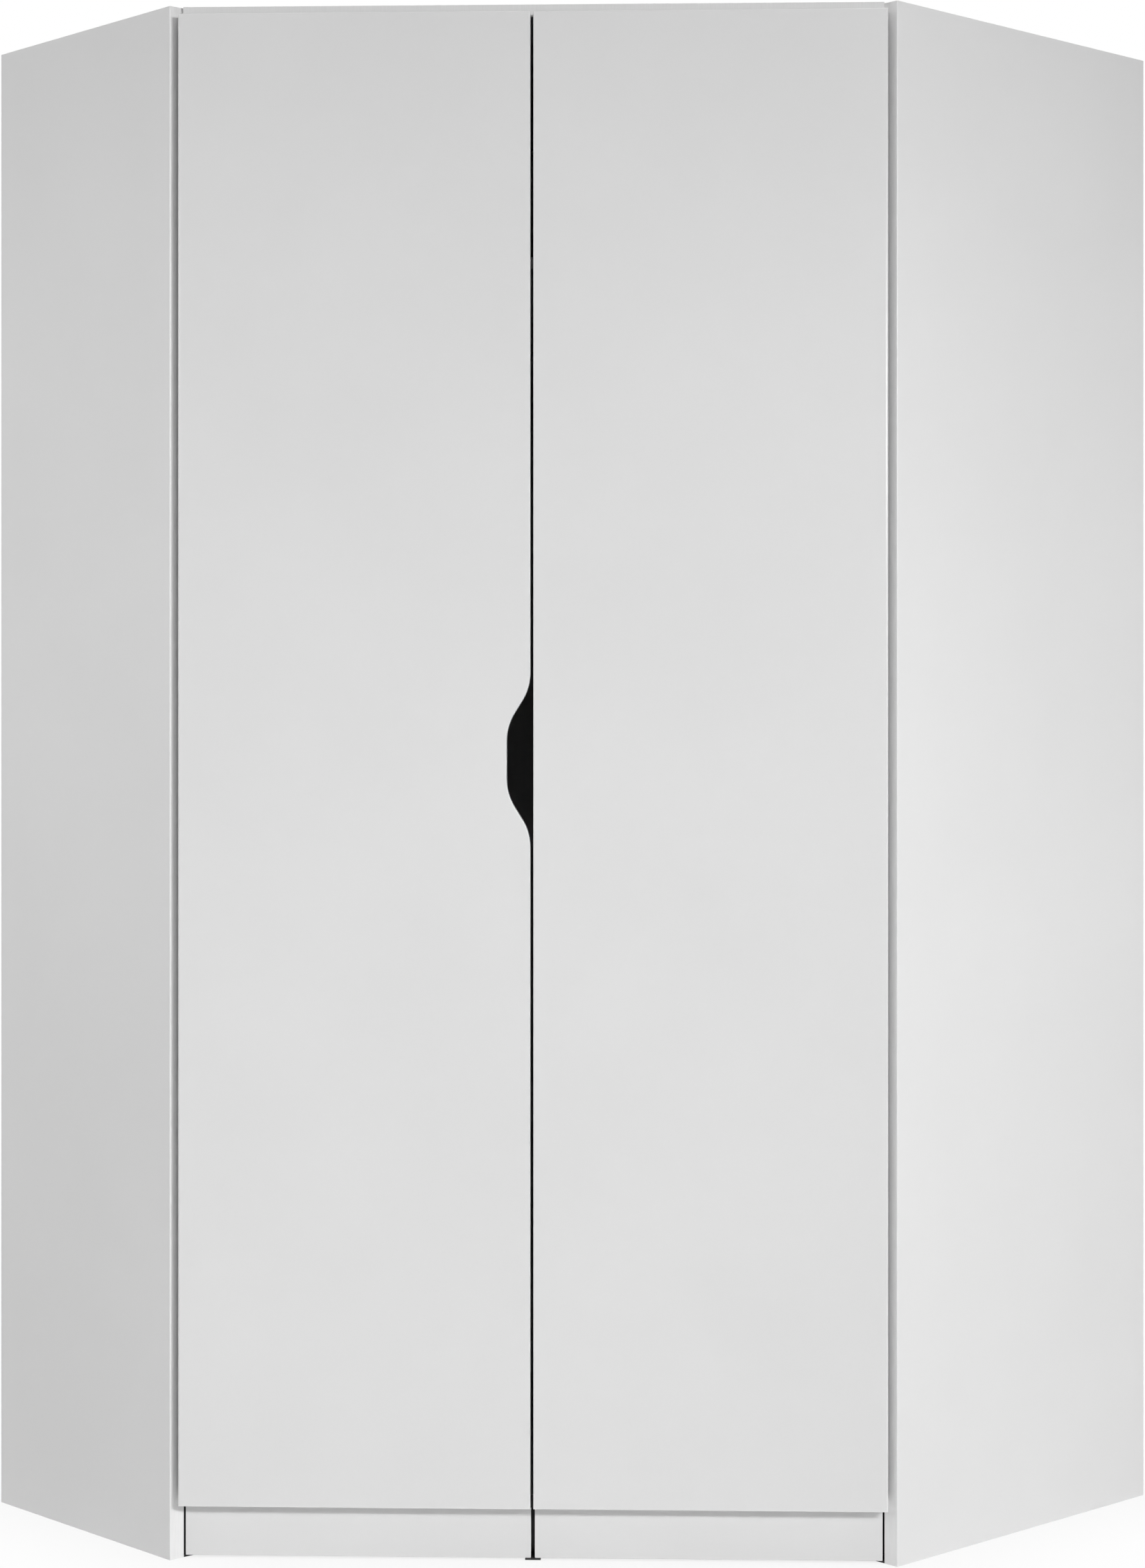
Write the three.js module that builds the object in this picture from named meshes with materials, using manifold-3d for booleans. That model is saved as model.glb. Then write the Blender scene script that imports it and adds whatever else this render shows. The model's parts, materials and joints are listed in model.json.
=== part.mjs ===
// Corner wardrobe: five sided, with two flush doors across the corner. Millimetres, +Z up, front to -Y.
// In plan the sides recede from the front at 45 degrees, and the two backs meet at a right angle.

import * as THREE from 'three';
import { mergeVertices } from 'three/addons/utils/BufferGeometryUtils.js';
import Module from 'manifold-3d';

const wasm = await Module();
wasm.setup();

// Driving sizes of the cabinet
const cabinetHeight = 1990;
const frontWidth = 928; // between the outer front corners of the sides
const leftDepth = 395; // length of the left side, front corner to wall
const rightDepth = 520;
const sideThickness = 22;
const boardThickness = 16; // top, bottom, hat shelf and plinth
const arris = 1; // rounding of the banded vertical edges
const seat = 0.3; // gap kept between pieces that rest on each other
const overrun = 2; // how far a cutting body passes the face that it cuts

// Back sheets, let into grooves, and the corner post of two boards
const sheetThickness = 3.2;
const sheetInset = 10; // from the wall to the sheet
const grooveDepth = 7;
const postThickness = 22;
const postWidth = 90;
const sheetTopGap = 3;
const profileWidth = 14; // joining profile between two sheets
const profileSkin = 1;

// Doors
const doorThickness = 16;
const doorProud = 15; // door face in front of the line between the outer front corners
const doorGap = 4; // between the two doors
const doorTopReveal = 13; // top board seen above the doors
const doorBottomLap = 13; // bottom board hidden by the doors
const doorSideLap = 3; // past the inner front corner of a side
const doorArris = 1.2; // rounding of the banded edges
const doorOuterArris = 3; // rounding of the outer front edge

// Finger cut-out in the left door's closing edge
const cutLength = 222;
const cutFloor = 48.5; // straight part at full depth
const cutDepth = 30;
const cutRadius = 67;

// Concealed hinges
const hingeCount = 4;
const hingeEndDistance = 100; // from the end of the door to the nearest cup
const cupCentre = 22.5; // from the door's outer edge
const cupRadius = 17.5;
const cupDepth = 12.5;
const cupWall = 0.8;
const cupRim = 0.8; // height of the rim over the door's back
const flangeLength = 52;
const flangeWidth = 17;
const flangeStart = 3; // from the middle of the cup
const flangeThickness = 1;
const pinInset = 10.5; // from the door's outer edge
const pinDepth = 8; // from the door's back
const pinRadius = 1.5;
const eyeWall = 1;
const sweepClearance = 0.8; // between the boards and the door's turning corner
const armSheet = 1.5;
const armWidth = 10;
const armClearance = 0.7; // between the arm and the door's turning corner
const armLength = 62; // from the front edge of the side
const channelStart = 3;
const channelWidth = 14;
const plateStart = 9;
const plateEnd = 57;
const plateHeight = 6;
const plateWidth = 10;
const wingStart = 31;
const wingEnd = 43;
const wingLength = 52;
const wingThickness = 2;

// Plinth and the foot behind its joint
const plinthHeight = 70;
const plinthLift = 3; // air under the plinth
const plinthGap = 5; // between its two halves
const plinthEndGap = 2; // between the plinth and a side
const joinerWidth = 56;
const joinerThickness = 4;
const joinerMargin = 8; // from the plinth's edges
const footSetback = 40; // from the joiner to the middle of the foot
const footBaseRadius = 27;
const footBaseHeight = 10;
const footStemRadius = 14;
const footHeadRadius = 24;
const footHeadHeight = 6;
const bracketLeg = 30;
const bracketSheet = 2;
const bracketWidth = 20;
const bracketFromEnd = 90;

// Hat shelf, its supports and the clothes rail
const hatSpace = 303; // clear height between the hat shelf and the top board
const shelfSetback = 24; // from the front edge of the bottom board
const supportLength = 30;
const supportDepth = 12;
const supportHeight = 14;
const supportFromEnd = 60;
const railRadius = 12.5;
const railWall = 1.2;
const railLength = 740;
const railDrop = 55; // shelf to the middle of the rail
const railSetback = 470; // front corners to the middle of the rail
const socketWall = 3;
const socketDepth = 12;
const socketFloor = 3;
const hangerThickness = 6;
const hangerWidth = 28;
const hangerPlateLength = 44;
const hangerPlateThickness = 3;
const hangerPlateWidth = 40;

// Buffers on the bottom board and the angles that hold the cabinet to the walls
const bufferRadius = 5;
const bufferFromGap = 34; // middle of the cabinet to the middle of a buffer
const bufferRaise = 2; // over the middle of the board's edge, behind the door's lap
const wallAngleWidth = 22;
const wallAngleDepth = 40;
const wallAngleHeight = 60;
const wallAngleSheet = 2;
const wallAngleFromPost = 150;

// Fineness of round shapes
const roundSides = 32;
const smallRoundSides = 20;
const curveSteps = 8;
const arrisSteps = 2;

// Plan geometry, with the middle of the front line as its zero
const slope = Math.SQRT1_2; // sine and cosine of the sides' 45 degrees
const hands = { left: -1, right: 1 };
const depths = { left: leftDepth, right: rightDepth };
const frontOverWalls = frontWidth * slope;
const backLengths = { left: frontOverWalls + rightDepth, right: frontOverWalls + leftDepth };
const rear = (leftDepth + backLengths.left) * slope;
const middle = (rightDepth - leftDepth) * slope / 2;
const doorBack = doorThickness - doorProud;
const innerFront = frontWidth / 2 - sideThickness * slope; // middle to the inner front corner of a side
const doorOuter = innerFront + doorSideLap;
const doorInner = doorGap / 2;
const doorBottom = plinthHeight + boardThickness - doorBottomLap;
const doorTop = cabinetHeight - doorTopReveal;
const pinX = doorOuter - pinInset;
const pinY = doorBack - pinDepth;
const boardFront = pinY + Math.hypot(pinInset, pinDepth) + sweepClearance;
const plinthFront = sideThickness * slope;
const shelfBottom = cabinetHeight - 2 * boardThickness - hatSpace;
const shelfSheetGap = profileSkin + 2 * seat; // lets the joining profiles pass behind the hat shelf

const finishes = {
  melamine: { color: 0xe9e9e9, roughness: 0.55, metalness: 0 },
  inside: { color: 0xdedede, roughness: 0.6, metalness: 0 },
  sheet: { color: 0xd8d8d6, roughness: 0.7, metalness: 0 },
  steel: { color: 0xb9bbbd, roughness: 0.35, metalness: 0.9 },
  chrome: { color: 0xd5d7d9, roughness: 0.15, metalness: 1 },
  plastic: { color: 0xe4e4e2, roughness: 0.5, metalness: 0 },
  blackPlastic: { color: 0x1b1b1c, roughness: 0.6, metalness: 0 },
  rubber: { color: 0xcfd1d0, roughness: 0.7, metalness: 0 },
};

// A plan point in the frame of one side: along it from its front corner, and inward from its outer face.
function planPoint(side, along, inward) {
  return new THREE.Vector2(
    hands[side] * (frontWidth / 2 + (along - inward) * slope),
    (along + inward) * slope,
  );
}

// The distance along a side at which a line parallel to it crosses a line parallel to the front.
function alongAtFront(y, inward) {
  return y / slope - inward;
}

// A shape from corner points, some of them rounded by the radius of the same number.
function cornerShape(points, radii = []) {
  const shape = new THREE.Shape();
  points.forEach((point, i) => {
    const radius = radii[i] ?? 0;
    const before = points[(i + points.length - 1) % points.length];
    const after = points[(i + 1) % points.length];
    const start = point.clone().add(before.clone().sub(point).setLength(radius));
    const end = point.clone().add(after.clone().sub(point).setLength(radius));
    if (i === 0) shape.moveTo(start.x, start.y);
    else shape.lineTo(start.x, start.y);
    if (radius > 0) shape.quadraticCurveTo(point.x, point.y, end.x, end.y);
  });
  shape.closePath();
  return shape;
}

// A body with an upright outline, standing between two heights.
function upright(shape, bottom, top, steps = curveSteps) {
  const geometry = new THREE.ExtrudeGeometry(shape, {
    depth: top - bottom,
    bevelEnabled: false,
    curveSegments: steps,
  });
  geometry.translate(0, 0, bottom);
  return geometry;
}

function uprightFrom(points, bottom, top) {
  return upright(cornerShape(points), bottom, top);
}

// The four plan corners of a board that stands along or across one side.
function sideRectangle(side, along, inward) {
  return [
    planPoint(side, along[0], inward[0]),
    planPoint(side, along[1], inward[0]),
    planPoint(side, along[1], inward[1]),
    planPoint(side, along[0], inward[1]),
  ];
}

function box(x, y, z) {
  const geometry = new THREE.BoxGeometry(x[1] - x[0], y[1] - y[0], z[1] - z[0]);
  geometry.translate((x[0] + x[1]) / 2, (y[0] + y[1]) / 2, (z[0] + z[1]) / 2);
  return geometry;
}

// A closed geometry as a solid that can be joined and cut.
function solid(geometry) {
  const bare = geometry.clone();
  bare.deleteAttribute('normal');
  bare.deleteAttribute('uv');
  const merged = mergeVertices(bare);
  return new wasm.Manifold(new wasm.Mesh({
    numProp: merged.attributes.position.itemSize,
    vertProperties: new Float32Array(merged.attributes.position.array),
    triVerts: new Uint32Array(merged.index.array),
  }));
}

function geometryOf(body) {
  const data = body.getMesh();
  const geometry = new THREE.BufferGeometry();
  geometry.setAttribute('position', new THREE.BufferAttribute(data.vertProperties, data.numProp));
  geometry.setIndex(new THREE.BufferAttribute(data.triVerts, 1));
  geometry.computeVertexNormals();
  return geometry;
}

function joined(geometries) {
  return geometries.map(solid).reduce((whole, piece) => whole.add(piece));
}

function cylinderAlongY(radius, from, to, sides = roundSides) {
  const geometry = new THREE.CylinderGeometry(radius, radius, to - from, sides);
  geometry.translate(0, (from + to) / 2, 0);
  return geometry;
}

function cylinderAlongZ(radius, from, to, sides = smallRoundSides) {
  const geometry = new THREE.CylinderGeometry(radius, radius, to - from, sides);
  geometry.rotateX(Math.PI / 2);
  geometry.translate(0, 0, (from + to) / 2);
  return geometry;
}

function cylinderAlongX(radius, from, to, sides = roundSides) {
  const geometry = new THREE.CylinderGeometry(radius, radius, to - from, sides);
  geometry.rotateZ(Math.PI / 2);
  geometry.translate((from + to) / 2, 0, 0);
  return geometry;
}

const wardrobe = new THREE.Group();
wardrobe.position.set(-middle, -(rear - doorProud) / 2, 0);

function place(name, geometry, finish) {
  const material = new THREE.MeshStandardMaterial(finishes[finish]);
  const mesh = new THREE.Mesh(geometry, material);
  mesh.name = name;
  wardrobe.add(mesh);
  return mesh;
}

// Where the back sheet's two faces lie, measured along a side
function sheetSpan(side) {
  const outer = depths[side] - sheetInset;
  return [outer - sheetThickness, outer];
}

function sidePanel(side) {
  const [sheetFront, sheetRear] = sheetSpan(side);
  const depth = depths[side];
  const grooveFloor = sideThickness - grooveDepth;
  const outline = [
    planPoint(side, 0, 0),
    planPoint(side, depth, 0),
    planPoint(side, depth, sideThickness),
    planPoint(side, sheetRear + seat, sideThickness),
    planPoint(side, sheetRear + seat, grooveFloor),
    planPoint(side, sheetFront - seat, grooveFloor),
    planPoint(side, sheetFront - seat, sideThickness),
    planPoint(side, 0, sideThickness),
  ];
  const radii = outline.map((point, i) => (i === 0 || i === outline.length - 1 ? arris : 0));
  return upright(cornerShape(outline, radii), 0, cabinetHeight);
}

// The front corner of a board that meets a side. In front of the side's inner corner its end runs square.
function boardCorner(side, front, inner) {
  const across = innerFront - seat;
  const meeting = across + inner / slope - frontWidth / 2;
  if (front >= meeting) return [planPoint(side, alongAtFront(front, inner), inner)];
  return [
    new THREE.Vector2(hands[side] * across, front),
    new THREE.Vector2(hands[side] * across, meeting),
  ];
}

// The outline shared by the top, bottom and hat shelf: five sided, notched round the corner post.
function boardOutline(front, sheetGap) {
  const inner = sideThickness + seat;
  const left = [
    ...boardCorner('left', front, inner),
    planPoint('left', sheetSpan('left')[0] - sheetGap, inner),
    planPoint('left', sheetSpan('left')[0] - sheetGap, backLengths.left - postWidth - seat),
    planPoint('left', leftDepth - postThickness - seat, backLengths.left - postWidth - seat),
    planPoint('left', leftDepth - postThickness - seat, backLengths.left - postThickness - seat),
  ];
  const right = [
    planPoint('right', rightDepth - postThickness - seat, backLengths.right - postWidth - seat),
    planPoint('right', sheetSpan('right')[0] - sheetGap, backLengths.right - postWidth - seat),
    planPoint('right', sheetSpan('right')[0] - sheetGap, inner),
    ...boardCorner('right', front, inner).reverse(),
  ];
  return [...left, ...right];
}

function flatBoard(front, bottom, sheetGap = seat) {
  return uprightFrom(boardOutline(front, sheetGap), bottom, bottom + boardThickness);
}

// One board of the corner post, with the groove for its back sheet in its free edge.
function cornerPost(side, farEnd) {
  const [sheetFront, sheetRear] = sheetSpan(side);
  const depth = depths[side];
  const nearEnd = backLengths[side] - postWidth;
  const outline = [
    planPoint(side, depth - postThickness, nearEnd),
    planPoint(side, sheetFront - seat, nearEnd),
    planPoint(side, sheetFront - seat, nearEnd + grooveDepth),
    planPoint(side, sheetRear + seat, nearEnd + grooveDepth),
    planPoint(side, sheetRear + seat, nearEnd),
    planPoint(side, depth, nearEnd),
    planPoint(side, depth, farEnd),
    planPoint(side, depth - postThickness, farEnd),
  ];
  return uprightFrom(outline, 0, cabinetHeight);
}

// Where the two sheets of one back start, meet and end, measured inward from the side.
function sheetStations(side) {
  const start = sideThickness - grooveDepth + seat;
  const end = backLengths[side] - postWidth + grooveDepth - seat;
  return { start, joint: (start + end) / 2, end };
}

function backSheet(side, inward) {
  const outline = sideRectangle(side, sheetSpan(side), inward);
  return uprightFrom(outline, plinthHeight, cabinetHeight - sheetTopGap);
}

// The H-shaped profile that joins the two sheets of one back.
function sheetProfile(side) {
  const [sheetFront, sheetRear] = sheetSpan(side);
  const { joint } = sheetStations(side);
  const bottom = plinthHeight + boardThickness;
  const top = cabinetHeight - boardThickness;
  const front = sheetFront - seat;
  const back = sheetRear + seat;
  const wide = profileWidth / 2;
  const web = profileSkin / 2;
  const outline = [
    planPoint(side, front - profileSkin, joint - wide),
    planPoint(side, front, joint - wide),
    planPoint(side, front, joint - web),
    planPoint(side, back, joint - web),
    planPoint(side, back, joint - wide),
    planPoint(side, back + profileSkin, joint - wide),
    planPoint(side, back + profileSkin, joint + wide),
    planPoint(side, back, joint + wide),
    planPoint(side, back, joint + web),
    planPoint(side, front, joint + web),
    planPoint(side, front, joint + wide),
    planPoint(side, front - profileSkin, joint + wide),
  ];
  return uprightFrom(outline, bottom, top);
}

const plinthEnd = innerFront - plinthEndGap;
const joinerFront = plinthFront + boardThickness + seat;

function plinthBoard(hand) {
  const x = [hand * plinthGap / 2, hand * plinthEnd].sort((a, b) => a - b);
  return box(x, [plinthFront, plinthFront + boardThickness], [plinthLift, plinthHeight]);
}

// The plate behind the joint of the two plinth boards.
function plinthJoiner() {
  return box(
    [-joinerWidth / 2, joinerWidth / 2],
    [joinerFront, joinerFront + joinerThickness],
    [plinthLift + joinerMargin, plinthHeight - joinerMargin],
  );
}

// The screwed foot that carries the bottom board behind the plinth's joint.
function centreFoot() {
  const headBottom = plinthHeight - footHeadHeight;
  const profile = [
    new THREE.Vector2(0, 0),
    new THREE.Vector2(footBaseRadius, 0),
    new THREE.Vector2(footBaseRadius, footBaseHeight),
    new THREE.Vector2(footStemRadius, footBaseHeight),
    new THREE.Vector2(footStemRadius, headBottom),
    new THREE.Vector2(footHeadRadius, headBottom),
    new THREE.Vector2(footHeadRadius, plinthHeight),
    new THREE.Vector2(0, plinthHeight),
  ];
  const geometry = new THREE.LatheGeometry(profile, roundSides);
  geometry.rotateX(Math.PI / 2);
  geometry.translate(0, joinerFront + joinerThickness + footSetback, 0);
  return geometry;
}

// The steel angle between a plinth board's back and the underside of the bottom board.
function plinthBracket(hand) {
  const centre = hand * (plinthEnd - bracketFromEnd);
  const x = [centre - bracketWidth / 2, centre + bracketWidth / 2];
  const upFront = plinthFront + boardThickness + seat;
  const top = plinthHeight - seat;
  return geometryOf(joined([
    box(x, [upFront, upFront + bracketSheet], [top - bracketLeg, top]),
    box(x, [upFront, upFront + bracketLeg], [top - bracketSheet, top]),
  ]));
}

// The outline of a door seen from the front, with a cut-out in its closing edge if asked.
function doorShape(hand, hasCut) {
  const shape = new THREE.Shape();
  shape.moveTo(hand * doorOuter, doorBottom);
  shape.lineTo(hand * doorInner, doorBottom);
  if (hasCut) traceCut(shape, hand);
  shape.lineTo(hand * doorInner, doorTop);
  shape.lineTo(hand * doorOuter, doorTop);
  shape.closePath();
  return shape;
}

// The cut-out's edge, upward: an S of two equal arcs, the straight floor, and the S mirrored.
function traceCut(shape, hand) {
  const run = (cutLength - cutFloor) / 2;
  const radius = Math.min(cutRadius, (run ** 2 + cutDepth ** 2) / (4 * cutDepth));
  const across = 2 * radius - cutDepth;
  const turn = Math.atan2(run, across) - Math.acos(Math.min(1, 2 * radius / Math.hypot(run, across)));
  const arc = Array.from({ length: curveSteps + 1 }, (_, i) => {
    const angle = turn * i / curveSteps;
    return [radius * (1 - Math.cos(angle)), radius * Math.sin(angle)];
  });
  const half = [...arc, ...arc.map(([x, z]) => [cutDepth - x, run - z]).reverse()];
  const centre = (doorBottom + doorTop) / 2;
  const bottom = centre - cutLength / 2;
  const top = centre + cutLength / 2;
  half.forEach(([x, z]) => shape.lineTo(hand * (doorInner + x), bottom + z));
  half.reverse().forEach(([x, z]) => shape.lineTo(hand * (doorInner + x), top - z));
}

const hingeHeights = Array.from({ length: hingeCount }, (_, i) => {
  const first = doorBottom + hingeEndDistance;
  const last = doorTop - hingeEndDistance;
  return first + (last - first) * i / (hingeCount - 1);
});

// What is taken off a door's outer front edge to round it.
function outerArrisCut(hand) {
  const edge = hand * doorOuter;
  const front = doorBack - doorThickness;
  const outline = new THREE.Shape();
  outline.moveTo(edge - hand * doorOuterArris, front);
  outline.quadraticCurveTo(edge, front, edge, front + doorOuterArris);
  outline.lineTo(edge + hand * overrun, front + doorOuterArris);
  outline.lineTo(edge + hand * overrun, front - overrun);
  outline.lineTo(edge - hand * doorOuterArris, front - overrun);
  return solid(upright(outline, doorBottom - overrun, doorTop + overrun));
}

function door(hand, hasCut) {
  const slab = new THREE.ExtrudeGeometry(doorShape(hand, hasCut), {
    depth: doorThickness - 2 * doorArris,
    bevelThickness: doorArris,
    bevelSize: doorArris,
    bevelOffset: -doorArris,
    bevelSegments: arrisSteps,
  });
  slab.rotateX(Math.PI / 2);
  slab.translate(0, doorBack - doorArris, 0);
  const bores = hingeHeights.map((height) => {
    const bore = cylinderAlongY(cupRadius + seat, -cupDepth - seat, overrun);
    bore.translate(hand * (doorOuter - cupCentre), doorBack, height);
    return solid(bore);
  });
  const cuts = [outerArrisCut(hand), ...bores];
  return geometryOf(cuts.reduce((whole, cut) => whole.subtract(cut), solid(slab)));
}

// The cup let into the door, with its flange and the pin across it.
function hingeCup(hand, height) {
  const shell = new THREE.LatheGeometry([
    new THREE.Vector2(0, -cupDepth),
    new THREE.Vector2(cupRadius, -cupDepth),
    new THREE.Vector2(cupRadius, cupRim),
    new THREE.Vector2(cupRadius - cupWall, cupRim),
    new THREE.Vector2(cupRadius - cupWall, -cupDepth + cupWall),
    new THREE.Vector2(0, -cupDepth + cupWall),
  ], roundSides);
  const inward = [-hand * flangeStart, -hand * (flangeStart + flangeWidth)].sort((a, b) => a - b);
  const flange = solid(box(
    inward,
    [seat, seat + flangeThickness],
    [-flangeLength / 2, flangeLength / 2],
  )).subtract(solid(cylinderAlongY(cupRadius - cupWall, -overrun, overrun)));
  const pinBar = cylinderAlongZ(pinRadius, -cupRadius, cupRadius);
  pinBar.translate(hand * (cupCentre - pinInset), -pinDepth, 0);
  const reach = cylinderAlongY(cupRadius - cupWall / 2, -cupDepth, 0);
  const pin = solid(pinBar).intersect(solid(reach));
  const geometry = geometryOf(solid(shell).add(flange).add(pin));
  geometry.translate(hand * (doorOuter - cupCentre), doorBack, height);
  return geometry;
}

// A plan point near a hinge: inboard of its pin, and behind it.
function pinPoint(hand, inboard, behind) {
  return new THREE.Vector2(hand * (pinX - inboard), pinY + behind);
}

// The arm: an eye on the pin, a sheet that leaves the cup past the door's edge, and a channel on the plate.
function hingeArm(side, height) {
  const hand = hands[side];
  const half = armSheet / 2;
  const eyeRadius = pinRadius + seat + eyeWall;
  const innerRise = pinInset + armClearance;
  const outerRise = innerRise + armSheet;
  const start = pinRadius + seat + eyeWall / 2;
  const channelBottom = sideThickness + plateHeight + seat;
  const channelTop = channelBottom + armSheet;
  const innerSum = (channelBottom / slope) - (pinY - pinX + frontWidth / 2);
  const outerSum = (channelTop / slope) - (pinY - pinX + frontWidth / 2);
  const outline = [
    pinPoint(hand, start, half),
    pinPoint(hand, innerRise, half),
    pinPoint(hand, innerRise, innerSum - innerRise),
    planPoint(side, channelStart + armSheet, channelBottom),
    planPoint(side, channelStart + armSheet, channelTop),
    pinPoint(hand, outerRise, outerSum - outerRise),
    pinPoint(hand, outerRise, -half),
    pinPoint(hand, start, -half),
  ];
  const neckHalf = armWidth / 2;
  const channelHalf = channelWidth / 2;
  const legBottom = sideThickness + seat + wingThickness + seat;
  const cover = sideRectangle(side, [channelStart, armLength], [channelBottom, channelTop]);
  const leg = sideRectangle(side, [channelStart, armLength], [legBottom, channelTop]);
  const eye = new THREE.Shape().absarc(0, 0, eyeRadius, 0, 2 * Math.PI);
  eye.holes.push(new THREE.Path().absarc(0, 0, pinRadius + seat, 0, 2 * Math.PI));
  const eyeBody = upright(eye, -neckHalf, neckHalf);
  eyeBody.translate(hand * pinX, pinY, 0);
  const body = joined([
    uprightFrom(outline, -neckHalf, neckHalf),
    eyeBody,
    uprightFrom(cover, -channelHalf, channelHalf),
    uprightFrom(leg, -channelHalf, -channelHalf + armSheet),
    uprightFrom(leg, channelHalf - armSheet, channelHalf),
  ]);
  const geometry = geometryOf(body);
  geometry.translate(0, 0, height);
  return geometry;
}

// The mounting plate on the side's inner face: a raised body and two screwed wings.
function hingePlate(side, height) {
  const base = sideThickness + seat;
  const raised = sideRectangle(side, [plateStart, plateEnd], [base, sideThickness + plateHeight]);
  const wings = sideRectangle(side, [wingStart, wingEnd], [base, base + wingThickness]);
  const geometry = geometryOf(joined([
    uprightFrom(raised, -plateWidth / 2, plateWidth / 2),
    uprightFrom(wings, -wingLength / 2, wingLength / 2),
  ]));
  geometry.translate(0, 0, height);
  return geometry;
}

// A block under the hat shelf, on a side's inner face.
function sideSupport(side, along) {
  const base = sideThickness + seat;
  const outline = sideRectangle(
    side,
    [along - supportLength / 2, along + supportLength / 2],
    [base, base + supportDepth],
  );
  return uprightFrom(outline, shelfBottom - supportHeight, shelfBottom);
}

// A block under the hat shelf, on the inner face of a corner post board.
function postSupport(side) {
  const face = depths[side] - postThickness - seat;
  const middleOfPost = backLengths[side] - (postWidth + postThickness) / 2;
  const outline = sideRectangle(
    side,
    [face - supportDepth, face],
    [middleOfPost - supportLength / 2, middleOfPost + supportLength / 2],
  );
  return uprightFrom(outline, shelfBottom - supportHeight, shelfBottom);
}

const railMiddle = { x: middle, y: railSetback, z: shelfBottom - railDrop };

function clothesRail() {
  const ring = new THREE.Shape().absarc(0, 0, railRadius, 0, 2 * Math.PI);
  ring.holes.push(new THREE.Path().absarc(0, 0, railRadius - railWall, 0, 2 * Math.PI));
  const geometry = upright(ring, -railLength / 2, railLength / 2, roundSides);
  geometry.rotateY(Math.PI / 2);
  geometry.translate(railMiddle.x, railMiddle.y, railMiddle.z);
  return geometry;
}

// The hanger of one rail end: a plate under the shelf, a strap, and a socket that takes the rail.
function railHanger(hand) {
  const socketRadius = railRadius + seat + socketWall;
  const socketX = [-socketDepth, socketFloor + seat];
  const strapX = [0, hangerThickness];
  const outward = (span) => span.map((value) => hand * value).sort((a, b) => a - b);
  const top = railDrop - seat;
  const bore = solid(cylinderAlongX(railRadius + seat, ...outward([-socketDepth - overrun, seat])));
  const body = joined([
    cylinderAlongX(socketRadius, ...outward(socketX)),
    box(outward(strapX), [-hangerWidth / 2, hangerWidth / 2], [0, top]),
    box(
      outward([-hangerPlateLength + hangerThickness, hangerThickness]),
      [-hangerPlateWidth / 2, hangerPlateWidth / 2],
      [top - hangerPlateThickness, top],
    ),
  ]).subtract(bore);
  const geometry = geometryOf(body);
  geometry.translate(railMiddle.x + hand * railLength / 2, railMiddle.y, railMiddle.z);
  return geometry;
}

// A rubber buffer on the bottom board's front edge, just short of the door's back.
function doorBuffer(hand) {
  const geometry = cylinderAlongY(bufferRadius, doorBack + seat, boardFront - seat, smallRoundSides);
  geometry.translate(hand * bufferFromGap, 0, plinthHeight + boardThickness / 2 + bufferRaise);
  return geometry;
}

// The steel angle under the top board, against a back sheet, that is screwed to the wall.
function wallAngle(side) {
  const sheetFace = sheetSpan(side)[0] - seat;
  const centre = backLengths[side] - postWidth - wallAngleFromPost;
  const inward = [centre - wallAngleWidth / 2, centre + wallAngleWidth / 2];
  const top = cabinetHeight - boardThickness - seat;
  const upLeg = sideRectangle(side, [sheetFace - wallAngleSheet, sheetFace], inward);
  const flatLeg = sideRectangle(side, [sheetFace - wallAngleDepth, sheetFace], inward);
  return geometryOf(joined([
    uprightFrom(upLeg, top - wallAngleHeight, top),
    uprightFrom(flatLeg, top - wallAngleSheet, top),
  ]));
}

// The carcass
place('side_panel_left', sidePanel('left'), 'melamine');
place('side_panel_right', sidePanel('right'), 'melamine');
place('top_panel', flatBoard(boardFront, cabinetHeight - boardThickness), 'melamine');
place('bottom_panel', flatBoard(boardFront, plinthHeight), 'melamine');
place('hat_shelf', flatBoard(boardFront + shelfSetback, shelfBottom, shelfSheetGap), 'inside');
place('corner_post_left', cornerPost('left', backLengths.left), 'inside');
place('corner_post_right', cornerPost('right', backLengths.right - postThickness - seat), 'inside');
for (const side of ['left', 'right']) {
  const { start, joint, end } = sheetStations(side);
  const gap = profileSkin / 2 + seat;
  place(`back_sheet_${side}_outer`, backSheet(side, [start, joint - gap]), 'sheet');
  place(`back_sheet_${side}_inner`, backSheet(side, [joint + gap, end]), 'sheet');
  place(`back_profile_${side}`, sheetProfile(side), 'plastic');
  place(`wall_angle_${side}`, wallAngle(side), 'steel');
}

// The plinth
place('plinth_left', plinthBoard(hands.left), 'melamine');
place('plinth_right', plinthBoard(hands.right), 'melamine');
place('plinth_bracket_left', plinthBracket(hands.left), 'steel');
place('plinth_bracket_right', plinthBracket(hands.right), 'steel');
place('plinth_joiner', plinthJoiner(), 'blackPlastic');
place('centre_foot', centreFoot(), 'blackPlastic');

// Hat shelf supports and the clothes rail
for (const side of ['left', 'right']) {
  const shelfEdge = alongAtFront(boardFront + shelfSetback, sideThickness);
  const shelfRear = sheetSpan(side)[0];
  place(`shelf_support_${side}_front`, sideSupport(side, shelfEdge + supportFromEnd), 'plastic');
  place(`shelf_support_${side}_rear`, sideSupport(side, shelfRear - supportFromEnd), 'plastic');
  place(`shelf_support_${side}_post`, postSupport(side), 'plastic');
  place(`rail_hanger_${side}`, railHanger(hands[side]), 'steel');
}
place('clothes_rail', clothesRail(), 'chrome');

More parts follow.
